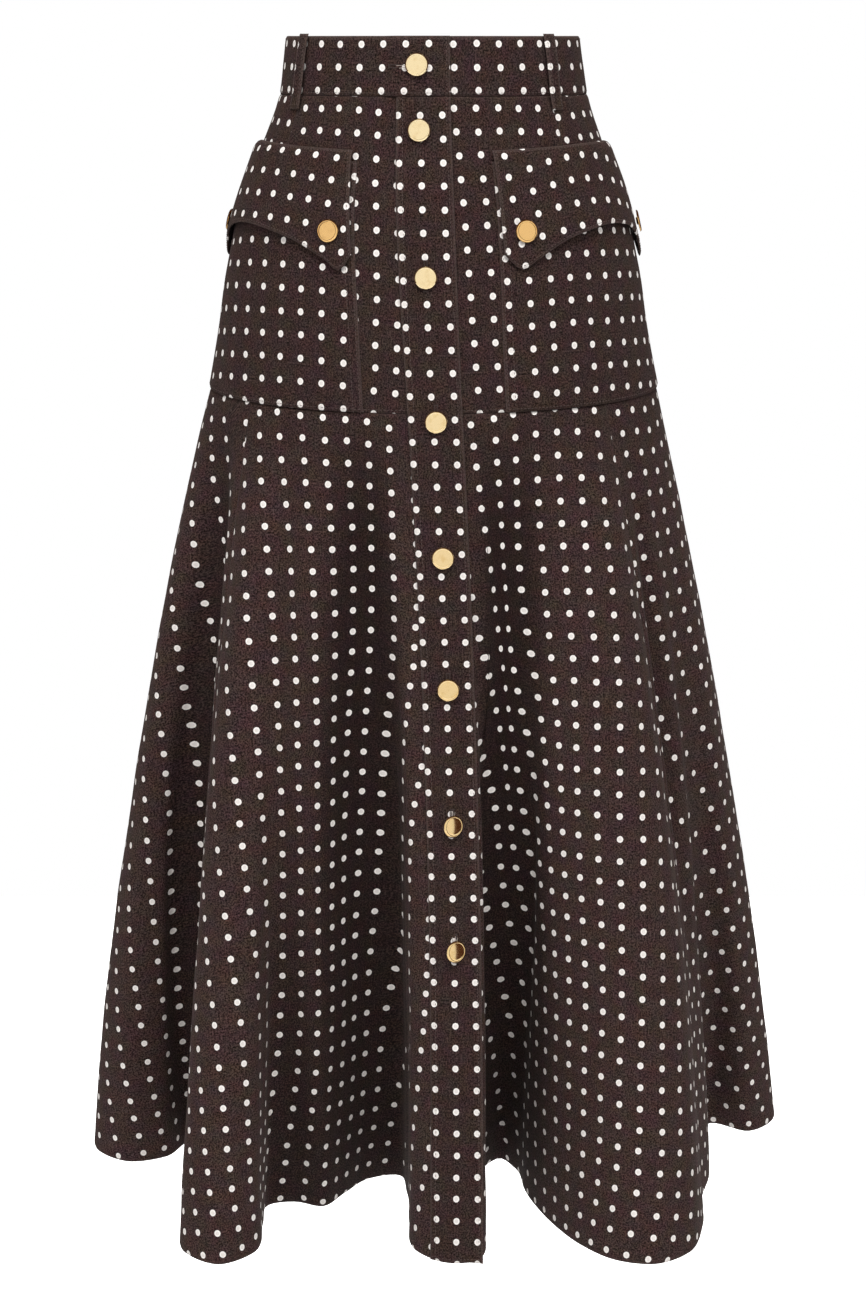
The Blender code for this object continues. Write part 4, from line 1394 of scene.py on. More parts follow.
@dataclass
class Tailor:
    """Turns sheets into cloth, and keeps what every sub-assembly needs."""

    body: BodyForm
    lower: LowerForm
    finishes: Finishes
    stitcher: Stitcher
    fold_bulge: float = 0.35 * MM

    def cloth(self, sheet: Sheet, thickness: float, inside: Array | float) -> bpy.types.Object:
        """A thin closed shell on a sheet, with rounded folded edges.

        Args:
            sheet: The piece.
            thickness: Its thickness.
            inside: How much thicker it is inside, at hems and seams.

        Returns:
            The object, with the faces of the inner side in the wrong side's material.
        """
        rows, columns = sheet.outer.shape[:2]
        count = rows * columns
        depth = np.broadcast_to(thickness + np.asarray(inside, float), (rows, columns))
        inner = sheet.inner_base - sheet.normals * depth[..., None]
        grid = np.arange(count).reshape(rows, columns)
        quads = np.stack([grid[:-1, :-1], grid[1:, :-1], grid[1:, 1:], grid[:-1, 1:]], axis=-1)
        quads = quads.reshape(-1, 4)
        rim = np.concatenate([grid[0, :-1], grid[:-1, -1], grid[-1, :0:-1], grid[:0:-1, 0]])
        outer_flat, inner_flat = sheet.outer.reshape(-1, 3), inner.reshape(-1, 3)
        middle = (outer_flat[rim] + inner_flat[rim]) / 2 + self.bulge(sheet).reshape(-1, 3)[rim]
        points = np.concatenate([outer_flat, inner_flat, middle])
        ring = np.arange(len(rim)) + 2 * count
        after = np.roll(np.arange(len(rim)), -1)
        front_rim = np.stack([rim, rim[after], ring[after], ring], axis=-1)
        back_rim = np.stack([ring, ring[after], rim[after] + count, rim + count], axis=-1)
        faces = np.concatenate([quads, quads[:, ::-1] + count, front_rim, back_rim])
        mesh = bpy.data.meshes.new(sheet.name)
        mesh.from_pydata(points.tolist(), [], faces.tolist())
        wrong = np.zeros(len(faces), dtype=np.int32)
        wrong[len(quads) : 2 * len(quads)] = 1
        mesh.polygons.foreach_set("material_index", wrong)
        flat = sheet.print_at.reshape(-1, 2)
        flat = np.concatenate([flat, flat, flat[rim]])
        corners = np.empty(len(mesh.loops), dtype=np.int32)
        mesh.loops.foreach_get("vertex_index", corners)
        mesh.uv_layers.new(name="print").data.foreach_set("uv", flat[corners].ravel())
        wear, pull = sheet.wear.ravel(), sheet.pull.reshape(-1, 3)
        # The painted light and shade of the folds, stored on the points for the cloth.
        painted_shading = np.broadcast_to(sheet.painted_shading, (rows, columns)).ravel()
        for name, front, back in (("rub", wear, 0 * wear), ("painted_shading", painted_shading, painted_shading), ("pull", pull, pull)):
            store(mesh, name, np.concatenate([front, back, front[rim]]))
        mesh.shade_smooth()
        mesh.validate()
        return add_object(sheet.name, mesh, self.finishes.cloth, self.finishes.wrong_side)

    def bulge(self, sheet: Sheet) -> Array:
        """How far the middle of each rim stands out, so that a folded edge is round.

        Args:
            sheet: The piece.

        Returns:
            A vector for each point, zero away from folded edges.
        """
        points = sheet.outer
        out = np.zeros_like(points)
        sides = (
            ((slice(None), 0), points[:, 0] - points[:, 1]),
            ((slice(None), -1), points[:, -1] - points[:, -2]),
            ((0, slice(None)), points[0] - points[1]),
            ((-1, slice(None)), points[-1] - points[-2]),
        )
        for edge, (place, away) in zip(sheet.edges, sides):
            if edge is Edge.FOLDED:
                out[place] += unit(away) * self.fold_bulge
        return out

    def keep(self, obj: bpy.types.Object, slot: str, *nodes: str) -> bpy.types.Object:
        """Lets a piece ride on the skirt and hides the solids that it stands for.

        Args:
            obj: The piece.
            slot: The record's slot; not used.
            nodes: The solids that it stands for.

        Returns:
            The piece.
        """
        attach(obj, "root")
        if nodes:
            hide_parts(*nodes)
        LOG.info("%s: %d faces", obj.name, len(obj.data.polygons))
        return obj

    def dress(
        self,
        sheet: Sheet,
        thickness: float,
        held: str,
        rests_on: list[str],
        inside: Array | float = 0.0,
    ) -> None:
        """Makes the cloth of a solid and hides the solid.

        Args:
            sheet: Its sheet, named after the solid.
            thickness: Its thickness.
            held: How it hangs; not used.
            rests_on: What it hangs from; not used.
            inside: How much thicker it is inside.
        """
        solid = sheet.name.removesuffix("_cloth")
        obj = self.keep(self.cloth(sheet, thickness, inside), "cloth", solid)

    def sew(
        self,
        name: str,
        lines: list[Path],
        thread: bpy.types.Material | None = None,
        seam: Seam = TOPSTITCH,
    ) -> None:
        """Sews along lines, with the topstitching thread unless another is given.

        Args:
            name: The piece's name.
            lines: The lines.
            thread: The thread's material.
            seam: The size of its stitches.
        """
        self.keep(self.stitcher.sew(name, lines, thread or self.finishes.thread, seam), "cloth")


@dataclass
class Waistband:
    """The contour waistband: one strip whose left end laps over its right end."""

    tailor: Tailor
    lap_start_deg: float = 1.0
    lap_ramp_deg: float = 6.5
    lap_clear_deg: float = 0.8
    lap_middle_deg: float = -3.7
    lap_end_deg: float = 6.1
    hole_aside: float = -1.45 * CM
    hole_half: float = 11 * MM
    lay: PrintLay = PrintLay(0.0, 0.0, 0.0, 1.0528, 1.0155, -0.766, -0.318, straight=True)

    def place(self, z: float, aside: float) -> tuple[Array, Array]:
        """A point on the lap at a height, beside its middle, and the outward direction.

        Args:
            z: The height.
            aside: The distance from the middle.

        Returns:
            The point and the direction.
        """
        degrees = self.lap_middle_deg + math.degrees(aside / (SECTIONS[1].half_width * CM))
        normal = self.tailor.body.normal(degrees, z)
        return self.tailor.body.point(degrees, z) + normal * (BAND_CLOTH + SEAM_GAP), normal

    def sheet(self) -> Sheet:
        """The strip, all the way round, lifted where it laps over itself.

        Returns:
            Its sheet.
        """
        start = YOKE_LINES["placket_left"].waist_deg
        lap_from = FULL_TURN + start - self.lap_ramp_deg
        lap_full = FULL_TURN + start - self.lap_clear_deg
        under = np.linspace(start + self.lap_start_deg, lap_from, 116)
        over = lap_from + (FULL_TURN + self.lap_end_deg - lap_from) * stations(0.053, 4 * MM)[3:]
        degrees = np.concatenate([under[:1], under[:1] + 0.4, under[1:], over])
        climb = np.clip((degrees - lap_from) / (lap_full - lap_from), 0.0, 1.0)
        lift = (BAND_CLOTH + SEAM_GAP) * ease(climb)
        share = stations(BAND_TOP - BAND_BOTTOM, 3.5 * MM)[:, None]
        heights = BAND_TOP + (BAND_BOTTOM + SEAM_GAP / 2 - BAND_TOP) * share
        degrees, heights = np.broadcast_arrays(degrees, heights)
        normals = self.tailor.body.normal(degrees, heights)
        outer = self.tailor.body.point(degrees, heights) + normals * lift[:, None]
        return Sheet("waistband_cloth", outer, normals, self.lay, SEWN_BELOW)

    def build(self) -> None:
        """Builds the strip, its edge stitches and its buttonhole."""
        sheet = self.sheet()
        yoke = ["yoke_front_left_cloth", "yoke_back_right_cloth"]
        self.tailor.dress(sheet, BAND_CLOTH, "stretched", yoke)
        lines = [
            sheet.line(Side.TOP, 2.2 * MM).trimmed(2 * MM, 3 * MM),
            sheet.line(Side.BOTTOM, 2.2 * MM).trimmed(2 * MM, 3 * MM),
            sheet.line(Side.RIGHT, 2.4 * MM).trimmed(2 * MM, 2 * MM),
        ]
        self.tailor.sew("waistband_stitches", lines)
        level = np.array([1.0, 0.0, 0.0])
        hole = buttonhole(*self.place(0.0, self.hole_aside), level, self.hole_half)
        self.tailor.sew("waistband_buttonhole", hole, self.tailor.finishes.buttonhole, SATIN)


def buttonhole(point: Array, normal: Array, along: Array, half: float) -> list[Path]:
    """The two sides and bars of a worked buttonhole.

    Args:
        point: Its middle.
        normal: The outward direction there.
        along: The way that it runs.
        half: Half its length.

    Returns:
        Its lines.
    """
    run = unit(along - normal * float(along @ normal))
    aside = np.cross(normal, run)
    steps = np.linspace(-1, 1, 9)
    sides = [point + np.outer(steps * half, run) + aside * side * 1.05 * MM for side in (-1.0, 1.0)]
    reach = half + 0.5 * MM
    bars = [point + run * end * reach + np.outer(steps * 1.7 * MM, aside) for end in (-1.0, 1.0)]
    return [Path.facing(line, normal) for line in sides + bars]


def drawn_in(grid: Array) -> Array:
    """Draws the first and last column in by half a seam gap.

    Args:
        grid: A piece's points.

    Returns:
        The points with the narrower edges.
    """
    trimmed = grid.copy()
    for edge, inner in ((0, 2), (-1, -3)):
        trimmed[:, edge] += unit(grid[:, inner] - grid[:, edge]) * (SEAM_GAP / 2)
    return trimmed


YOKE_DOWN = stations(0.244, 8 * MM)
SKIRT_DOWN = stations(0.69, 8.5 * MM)

# How the print lies on each panel. Another program fitted the skirt's front and side rows to the
# dots in the photograph, and fits of the same kind guided the lays of the other pieces in front.
YOKE_LAYS = {
    "front_left": PrintLay(0.2, 0.035, -2.10, 0.950, 1.017, 0.497, 0.469),
    "front_right": PrintLay(0.2, -0.050, -0.86, 0.989, 1.033, -0.370, -0.470),
    "side_left": PrintLay(0.5, 0.0, 1.2, 1.0, 1.02, -0.12, -0.16),
    "side_right": PrintLay(0.5, 0.0, -1.0, 1.0, 1.02, -0.20, 0.15),
    "back_left": PrintLay(0.1, 0.0, 0.6, 1.01, 1.02, 0.30, 0.10),
    "back_right": PrintLay(0.9, 0.0, -0.8, 1.01, 1.02, -0.10, 0.35),
}
SKIRT_LAYS = {
    "front_left": PrintLay(0.62, 0.0, 3.18, 1.012, 1.012, 0.157, 0.836),
    "front_right": PrintLay(0.40, 0.0, -6.50, 1.012, 1.012, 0.587, 0.701),
    "side_left": PrintLay(0.50, 0.0, -3.08, 1.012, 1.012, 0.276, 0.213),
    "side_right": PrintLay(0.50, 0.0, -21.04, 1.012, 1.012, 0.325, 0.214),
    "back_left": PrintLay(0.5, 0.0, 0.4, 1.0, 1.015, 0.15, 0.10),
    "back_right": PrintLay(0.5, 0.0, -0.4, 1.0, 1.015, -0.30, 0.25),
}


@dataclass
class Panels:
    """The fitted yoke and the flared lower skirt, each of six pieces."""

    tailor: Tailor
    hem_depth: float = 25 * MM
    hem_extra: float = 1.1 * MM
    allowance: float = 11 * MM
    seam_extra: float = 0.9 * MM

    def yoke_grid(self, lines: tuple[str, str], across: Array, down: Array) -> tuple[Array, Array]:
        """The yoke between two of its lines.

        Args:
            lines: The lines on the left and on the right.
            across: Shares of the way between them.
            down: Shares of the way from the waistband to the hip seam.

        Returns:
            The outer face and its normals.
        """
        first, last = (YOKE_LINES[name] for name in lines)
        waist = first.waist_deg + (last.waist_deg - first.waist_deg) * across
        hip = first.hip_deg + (last.hip_deg - first.hip_deg) * across
        top = BAND_BOTTOM - SEAM_GAP
        down = down[:, None]
        turned = waist + (hip - waist) * down
        z = top + (self.tailor.body.hip_seam(hip) + SEAM_GAP / 2 - top) * down
        return self.tailor.body.point(turned, z), self.tailor.body.normal(turned, z)

    def skirt_grid(self, lines: tuple[str, str], across: Array, down: Array) -> tuple[Array, Array]:
        """The lower skirt between two lines, from just below the hip seam.

        Args:
            lines: The lines on the left and on the right.
            across: Shares of the way between them, along the hem.
            down: Shares of the way down.

        Returns:
            The outer face and its normals.
        """
        lower = self.tailor.lower
        along, down = np.broadcast_arrays(lower.along(lines, across), down[:, None])
        outer = lower.point(along, down)
        outer[0, :, 2] -= SEAM_GAP / 2
        return outer, lower.normal(along, down)

    def folded_inside(self, sheet: Sheet) -> Array:
        """How much thicker the cloth is inside, over its seam allowances and its turned hem.

        Args:
            sheet: A panel's sheet.

        Returns:
            The extra thickness at each point.
        """
        near_side = np.minimum(sheet.across, sheet.far)
        hem = self.hem_extra * np.clip((self.hem_depth - sheet.low) / (2 * MM) + 0.5, 0, 1)
        seams = self.seam_extra * np.clip((self.allowance - near_side) / (2 * MM) + 0.5, 0, 1)
        return np.maximum(hem, seams)

    def build(self) -> None:
        """Builds the twelve pieces and the stitches on their seams."""
        tailor = self.tailor
        yoke_lines, inner_lines, hem_lines = [], [], []
        for place, lines in PANELS.items():
            across = stations(0.28 if "back" in place else 0.13, 7 * MM)
            outer, normals = self.yoke_grid(lines, across, YOKE_DOWN)
            yoke = Sheet(f"yoke_{place}_cloth", drawn_in(outer), normals, YOKE_LAYS[place])
            tailor.dress(yoke, CLOTH, "hung", ["waistband_cloth"])
            yoke_lines.append(yoke.line(Side.BOTTOM, 2.4 * MM))
            start, end = tailor.lower.along(lines, np.array([0.0, 1.0]))
            across = stations(end - start, 5.5 * MM)
            outer, normals = self.skirt_grid(lines, across, SKIRT_DOWN)
            # Painted light on the folds' crests and painted shade in their valleys.
            painted_shading = tailor.lower.painted_shading(tailor.lower.along(lines, across), SKIRT_DOWN)
            name = f"skirt_{place}_cloth"
            panel = Sheet(name, drawn_in(outer), normals, SKIRT_LAYS[place], HEMMED, painted_shading)
            tailor.dress(panel, CLOTH, "hung", [yoke.name], self.folded_inside(panel))
            for side in (Side.LEFT, Side.RIGHT):
                line = panel.line(side, self.allowance - 1.5 * MM).turned_in(CLOTH + 1.0 * MM)
                inner_lines.append(line.trimmed(6 * MM, 30 * MM))
            hem = panel.line(Side.BOTTOM, self.hem_depth - 2 * MM)
            hem_lines.append(hem.turned_in(CLOTH + 1.2 * MM))
        tailor.sew("hip_seam_stitches", yoke_lines)
        tailor.sew("overlock_inside", inner_lines, tailor.finishes.overlock, OVERLOCK)
        tailor.sew("hem_stitches_inside", hem_lines)


@dataclass
class Placket:
    """The two layers down the front, which the buttons hold together."""

    tailor: Tailor
    panels: Panels
    lines: tuple[str, str] = ("placket_left", "seam_underlap")
    lip: float = 10.5 * MM
    stitch_in: float = 5.0 * MM
    hole_half: float = 11.2 * MM
    over_lay: PrintLay = PrintLay(0.7, 0.020, -0.23, 0.977, 1.002, 0.320, -0.052)
    under_lay: PrintLay = PrintLay(0.5, 0.0, 0.3, 1.0, 1.01, 0.1, 0.3)

    def base(self) -> tuple[Array, Array]:
        """The underlap from waistband to hem, with four columns.

        Returns:
            The outer face and its normals.
        """
        across = np.linspace(0, 1, 4)
        yoke = self.panels.yoke_grid(self.lines, across, YOKE_DOWN)
        skirt = self.panels.skirt_grid(self.lines, across, SKIRT_DOWN)
        return tuple(np.concatenate([upper[:-3], lower[3:]]) for upper, lower in zip(yoke, skirt))

    def over(self) -> tuple[Array, Array]:
        """The overlap, with a lip beyond the underlap's right seam.

        Returns:
            The outer face and its normals.
        """
        base, normals = self.base()
        lip = base[:, -1] + unit(base[:, -1] - base[:, 0]) * self.lip
        base = np.concatenate([base, lip[:, None]], axis=1)
        normals = np.concatenate([normals[:, :-1], normals[:, -2:-1], normals[:, -2:-1]], axis=1)
        return base + normals * (SEAM_GAP + CLOTH), normals

    @staticmethod
    def finer(grids: tuple[Array, Array], width: float) -> tuple[Array, Array]:
        """Smooth columns through the given ones.

        Args:
            grids: The outer face and its normals.
            width: The strip's width.

        Returns:
            The same with more columns.
        """
        outer, normals = (grid.swapaxes(0, 1) for grid in grids)
        steps = np.linalg.norm(np.diff(outer, axis=0), axis=2).mean(axis=1)
        knots = np.concatenate([[0.0], steps.cumsum()])
        at = stations(width, 3.6 * MM) * knots[-1]
        count = outer.shape[1]
        outer, normals = (
            smooth_through(knots, grid.reshape(len(knots), -1), at)
            .reshape(len(at), count, 3)
            .swapaxes(0, 1)
            for grid in (outer, normals)
        )
        return outer, unit(normals)

    def place(self, z: float, aside: float) -> tuple[Array, Array]:
        """A point on the overlap at a height, beside its middle, and the outward direction.

        Args:
            z: The height.
            aside: The distance from the middle.

        Returns:
            The point and the direction.
        """
        outer, normals = self.over()
        rows = np.concatenate([outer[:, 2], normals[:, 2]], axis=1)
        rows = rows[np.argsort(rows[:, 2])]
        found = read_at(z, rows[:, 2], rows)
        across = unit(np.cross(found[3:], (0.0, 0.0, -1.0)))
        return found[:3] + across * aside, found[3:]

    def build(self) -> None:
        """Builds both layers, the stitches along the strip and the buttonholes."""
        tailor = self.tailor
        outer, normals = self.finer(self.base(), 0.035)
        under = Sheet("placket_underlap_cloth", drawn_in(outer), normals, self.under_lay, HEMMED)
        tailor.dress(under, CLOTH, "hung", ["waistband_cloth", "skirt_front_right_cloth"])
        outer, normals = self.finer(self.over(), 0.043)
        edges = (Edge.FOLDED, Edge.FOLDED, Edge.SEAM, Edge.FOLDED)
        over = Sheet("placket_overlap_cloth", outer, normals, self.over_lay, edges)
        tailor.dress(over, CLOTH, "hung", ["waistband_cloth", under.name])
        lines = [
            over.line(Side.LEFT, self.stitch_in).trimmed(0, 1 * MM),
            over.line(Side.RIGHT, 3.0 * MM).trimmed(0, 3 * MM),
            over.line(Side.BOTTOM, 3.0 * MM).trimmed(3 * MM, 3 * MM),
        ]
        tailor.sew("placket_stitches", lines)
        holes, upright = [], np.array([0.0, 0.0, 1.0])
        for spot in FRONT_BUTTONS[1:]:
            place = self.place((spot.z + 0.15) * CM, spot.aside * CM)
            holes += buttonhole(*place, upright, self.hole_half)
        tailor.sew("placket_buttonholes", holes, tailor.finishes.buttonhole, SATIN)


@dataclass(frozen=True)
class FlapCut:
    """One place along a flap's width: its share on each side, and its edges' heights."""

    left: float
    right: float
    top: float
    bottom: float


@dataclass(frozen=True)
class PocketSide:
    """One side's pocket and flap: the yoke's lines beside the pocket, the flap's front edge at its
    upper and lower end and its back edge, in degrees, where its buttons are in shares of its width
    from either end, and how the print lies on the pocket and on the flap."""

    lines: tuple[str, str]
    front_top: float
    front_bottom: float
    back: float
    button_share: float
    pocket_lay: PrintLay
    flap_lay: PrintLay


FLAP_CUTS = (
    FlapCut(0.0, 0.0, -6.35, -14.2),
    FlapCut(0.03, 0.055, -6.32, -15.3),
    FlapCut(0.10, 0.13, -6.28, -14.6),
    FlapCut(0.22, 0.24, -6.2, -13.4),
    FlapCut(0.37, 0.38, -6.1, -12.6),
    FlapCut(0.5, 0.5, -6.0, -12.25),
    FlapCut(0.62, 0.62, -5.95, -12.35),
    FlapCut(0.76, 0.76, -5.9, -13.0),
    FlapCut(0.87, 0.87, -5.95, -14.2),
    FlapCut(0.945, 0.945, -6.0, -15.2),
    FlapCut(1.0, 1.0, -6.05, -14.0),
)

POCKET_SIDES = {
    "left": PocketSide(
        ("pocket_back_left", "pocket_front_left"),
        *(-26.6, -22.6, -101.0, 0.078),
        PrintLay(0.8, 0.045, 1.09, 1.050, 1.033, -0.156, -0.274, 0.205),
        PrintLay(0.7, -0.596, 1.43, 1.028, 1.013, -0.085, -0.324),
    ),
    "right": PocketSide(
        ("pocket_front_right", "pocket_back_right"),
        *(19.3, 19.6, 95.0, 0.088),
        PrintLay(0.355, -0.018, 1.87, 1.013, 1.014, -0.401, 0.020, 0.205),
        PrintLay(0.7, 0.437, 16.62, 0.966, 1.042, 0.220, 0.148),
    ),
}


@dataclass
class CargoPockets:
    """A patch pocket with a two-pointed flap on each side of the yoke."""

    tailor: Tailor
    panels: Panels
    fullness: float = 1.2 * MM
    ease: float = 0.5 * MM
    lift: float = 4.0 * MM
    ramp: float = 0.8 * CM
    top_share: float = 0.205

    def flap_place(self, share: Array, down: Array, word: str) -> tuple[Array, Array]:
        """Angle and height on the yoke of a point of a flap.

        Args:
            share: The share of its width, from its front edge.
            down: The share of its height.
            word: Left or right.

        Returns:
            The angle and the height.
        """
        shares = np.array([getattr(row, word) for row in FLAP_CUTS])
        heights = np.array([(row.top, row.bottom) for row in FLAP_CUTS]) * CM
        top, bottom = np.moveaxis(smooth_through(shares, heights, share), -1, 0)
        side = POCKET_SIDES[word]
        front = side.front_top + (side.front_bottom - side.front_top) * down
        return front + (side.back - front) * share, top + (bottom - top) * down

    def flap_grid(
        self, word: str, share: Array | float, down: Array | float
    ) -> tuple[Array, Array]:
        """A flap: on the yoke at its top, over the pocket, and free below.

        Args:
            word: Left or right.
            share: Shares of its width, from its front edge.
            down: Shares of its height.

        Returns:
            The outer face and its normals.
        """
        share, down = np.broadcast_arrays(np.asarray(share, float), np.asarray(down, float))
        degrees, z = self.flap_place(share, down, word)
        top = self.flap_place(share, np.zeros_like(down), word)[1]
        ramp = np.clip((top - z) / self.ramp, 0.0, 1.0)
        over_pocket = CLOTH + SEAM_GAP + self.fullness
        free = np.clip(np.sin(math.pi * share), 0.0, 1.0) * down * down
        seat = SEAM_GAP + self.ease + FLAP_CLOTH
        lift = seat + over_pocket * ramp * (2 - ramp) + self.lift * free
        normals = self.tailor.body.normal(degrees, z)
        return self.tailor.body.point(degrees, z) + normals * lift[..., None], normals

    def pocket_sheet(self, word: str) -> Sheet:
        """A patch pocket's sheet, fullest in its middle.

        Args:
            word: Left or right.

        Returns:
            The sheet.
        """
        across = stations(0.19, 6 * MM)
        down = self.top_share + (1 - self.top_share) * stations(0.194, 7 * MM)
        side = POCKET_SIDES[word]
        outer, normals = self.panels.yoke_grid(side.lines, across, down)
        high = (down - self.top_share) / (1 - self.top_share)
        swell = np.sin(math.pi * high)[:, None] * np.sin(math.pi * across)
        lift = SEAM_GAP + CLOTH + self.fullness * np.sqrt(np.clip(swell, 0.0, 1.0))
        outer = outer + normals * lift[..., None]
        return Sheet(f"pocket_{word}_cloth", outer, normals, side.pocket_lay, SEWN_BELOW)

    def flap_sheet(self, word: str) -> Sheet:
        """A flap's sheet.

        Args:
            word: Left or right.

        Returns:
            The sheet.
        """
        across, down = stations(0.18, 3.6 * MM), stations(0.075, 3.2 * MM)[:, None]
        outer, normals = self.flap_grid(word, across, down)
        if word == "left":
            outer, normals = outer[:, ::-1], normals[:, ::-1]
        lay = POCKET_SIDES[word].flap_lay
        return Sheet(f"flap_{word}_cloth", outer, normals, lay, (Edge.FOLDED,) * 4)

    def build(self) -> None:
        """Builds both pockets and flaps, and their edge stitches."""
        upright = (Side.LEFT, Side.RIGHT)
        for word in POCKET_SIDES:
            pocket, flap = self.pocket_sheet(word), self.flap_sheet(word)
            front = f"yoke_front_{word}_cloth"
            self.tailor.dress(pocket, CLOTH, "stretched", [front, f"yoke_side_{word}_cloth"])
            lines = [pocket.line(Side.BOTTOM, 2.4 * MM).trimmed(3 * MM, 3 * MM)]
            for side in upright:
                lines += [pocket.line(side, inset * MM).trimmed(2 * MM, 0) for inset in (2.0, 7.5)]
            self.tailor.sew(f"pocket_{word}_stitches", lines)
            self.tailor.dress(flap, FLAP_CLOTH, "hung", [front, pocket.name])
            inset = 2.2 * MM
            lines = [
                flap.line(Side.TOP, inset).trimmed(2 * MM, 2 * MM),
                flap.line(Side.BOTTOM, inset).trimmed(inset, inset),
                *[flap.line(side, inset).trimmed(2 * MM, inset) for side in upright],
            ]
            self.tailor.sew(f"flap_{word}_stitches", lines)


@dataclass
class BeltLoops:
    """The belt loops, sewn at the waistband's top and just below it, and free in between."""

    tailor: Tailor
    width: float = 11 * MM
    cloth: float = 1.6 * MM
    stand: float = 1.6 * MM
    seat: float = 0.7 * MM
    top: float = 2.4 * CM
    bottom: float = -3.35 * CM
    angles: dict[str, float] = field(
        default_factory=lambda: {
            "front_left": -58.5,
            "front_right": 50.0,
            "back_left": -126.0,
            "back_right": 118.0,
            "back": 177.0,
        }
    )

    def sheet(self, place: str) -> Sheet:
        """A loop's sheet.

        Args:
            place: Where it is.

        Returns:
            The sheet.
        """
        angle = self.angles[place]
        top = self.top if "front" in place else self.top - 2 * MM
        down = stations(top - self.bottom, 3 * MM)[:, None]
        z = top + (self.bottom - top) * down
        stand = self.seat + self.cloth + self.stand * np.clip(np.sin(math.pi * down), 0, 1) ** 0.6
        across = stations(self.width, 2 * MM, (0.6 * MM, 1.4 * MM)) - 0.5
        normals = self.tailor.body.normal(angle, z) + np.zeros((len(across), 1))
        sideways = unit(np.cross(normals, (0.0, 0.0, -1.0)))
        outer = self.tailor.body.point(angle, z) + normals * stand[..., None]
        outer = outer + sideways * (across * self.width)[:, None]
        lay = PrintLay(across=0.07 * len(place), down=0.05 * len(place))
        return Sheet(f"belt_loop_{place}_cloth", outer, normals, lay, (Edge.FOLDED,) * 4)

    def build(self) -> None:
        """Builds each loop, and the stitches along their edges."""
        lines = []
        insets = {Side.LEFT: 1.9 * MM, Side.RIGHT: 1.9 * MM, Side.TOP: 3 * MM, Side.BOTTOM: 3 * MM}
        for place in self.angles:
            sheet = self.sheet(place)
            self.tailor.dress(sheet, self.cloth, "stretched", ["waistband_cloth"])
            edges = [sheet.line(side, inset) for side, inset in insets.items()]
            lines += [edge.trimmed(1 * MM, 1 * MM) for edge in edges]
        self.tailor.sew("belt_loop_stitches", lines)


@dataclass(frozen=True)
class FrontButton:
    """A front button: its height, distance from the placket's middle, and how far it is turned."""

    z: float
    aside: float
    turn_deg: float = 0.0


FRONT_BUTTONS = (
    FrontButton(0.1, -0.45),
    FrontButton(-4.8, -0.35),
    FrontButton(-15.9, -0.2),
    FrontButton(-27.0, 0.0),
    FrontButton(-37.7, 0.0),
    FrontButton(-48.2, 0.0),
    FrontButton(-59.1, 0.0, 32.0),
    FrontButton(-69.2, 0.0, 34.0),
)

# The button's section behind its domed face: shares of the radius with how far each point lies
# below the face, in millimetres, and then shares with heights as shares of the rim's.
BEAD = (
    *((0.795, 0.50), (0.815, 0.40), (0.84, 0.32), (0.87, 0.34)),
    *((0.90, 0.50), (0.935, 0.78), (0.97, 1.15), (0.992, 1.50)),
)
BACK = ((0.975, 1.12), (0.93, 1.0), (0.42, 0.82), (0.34, 0.7))


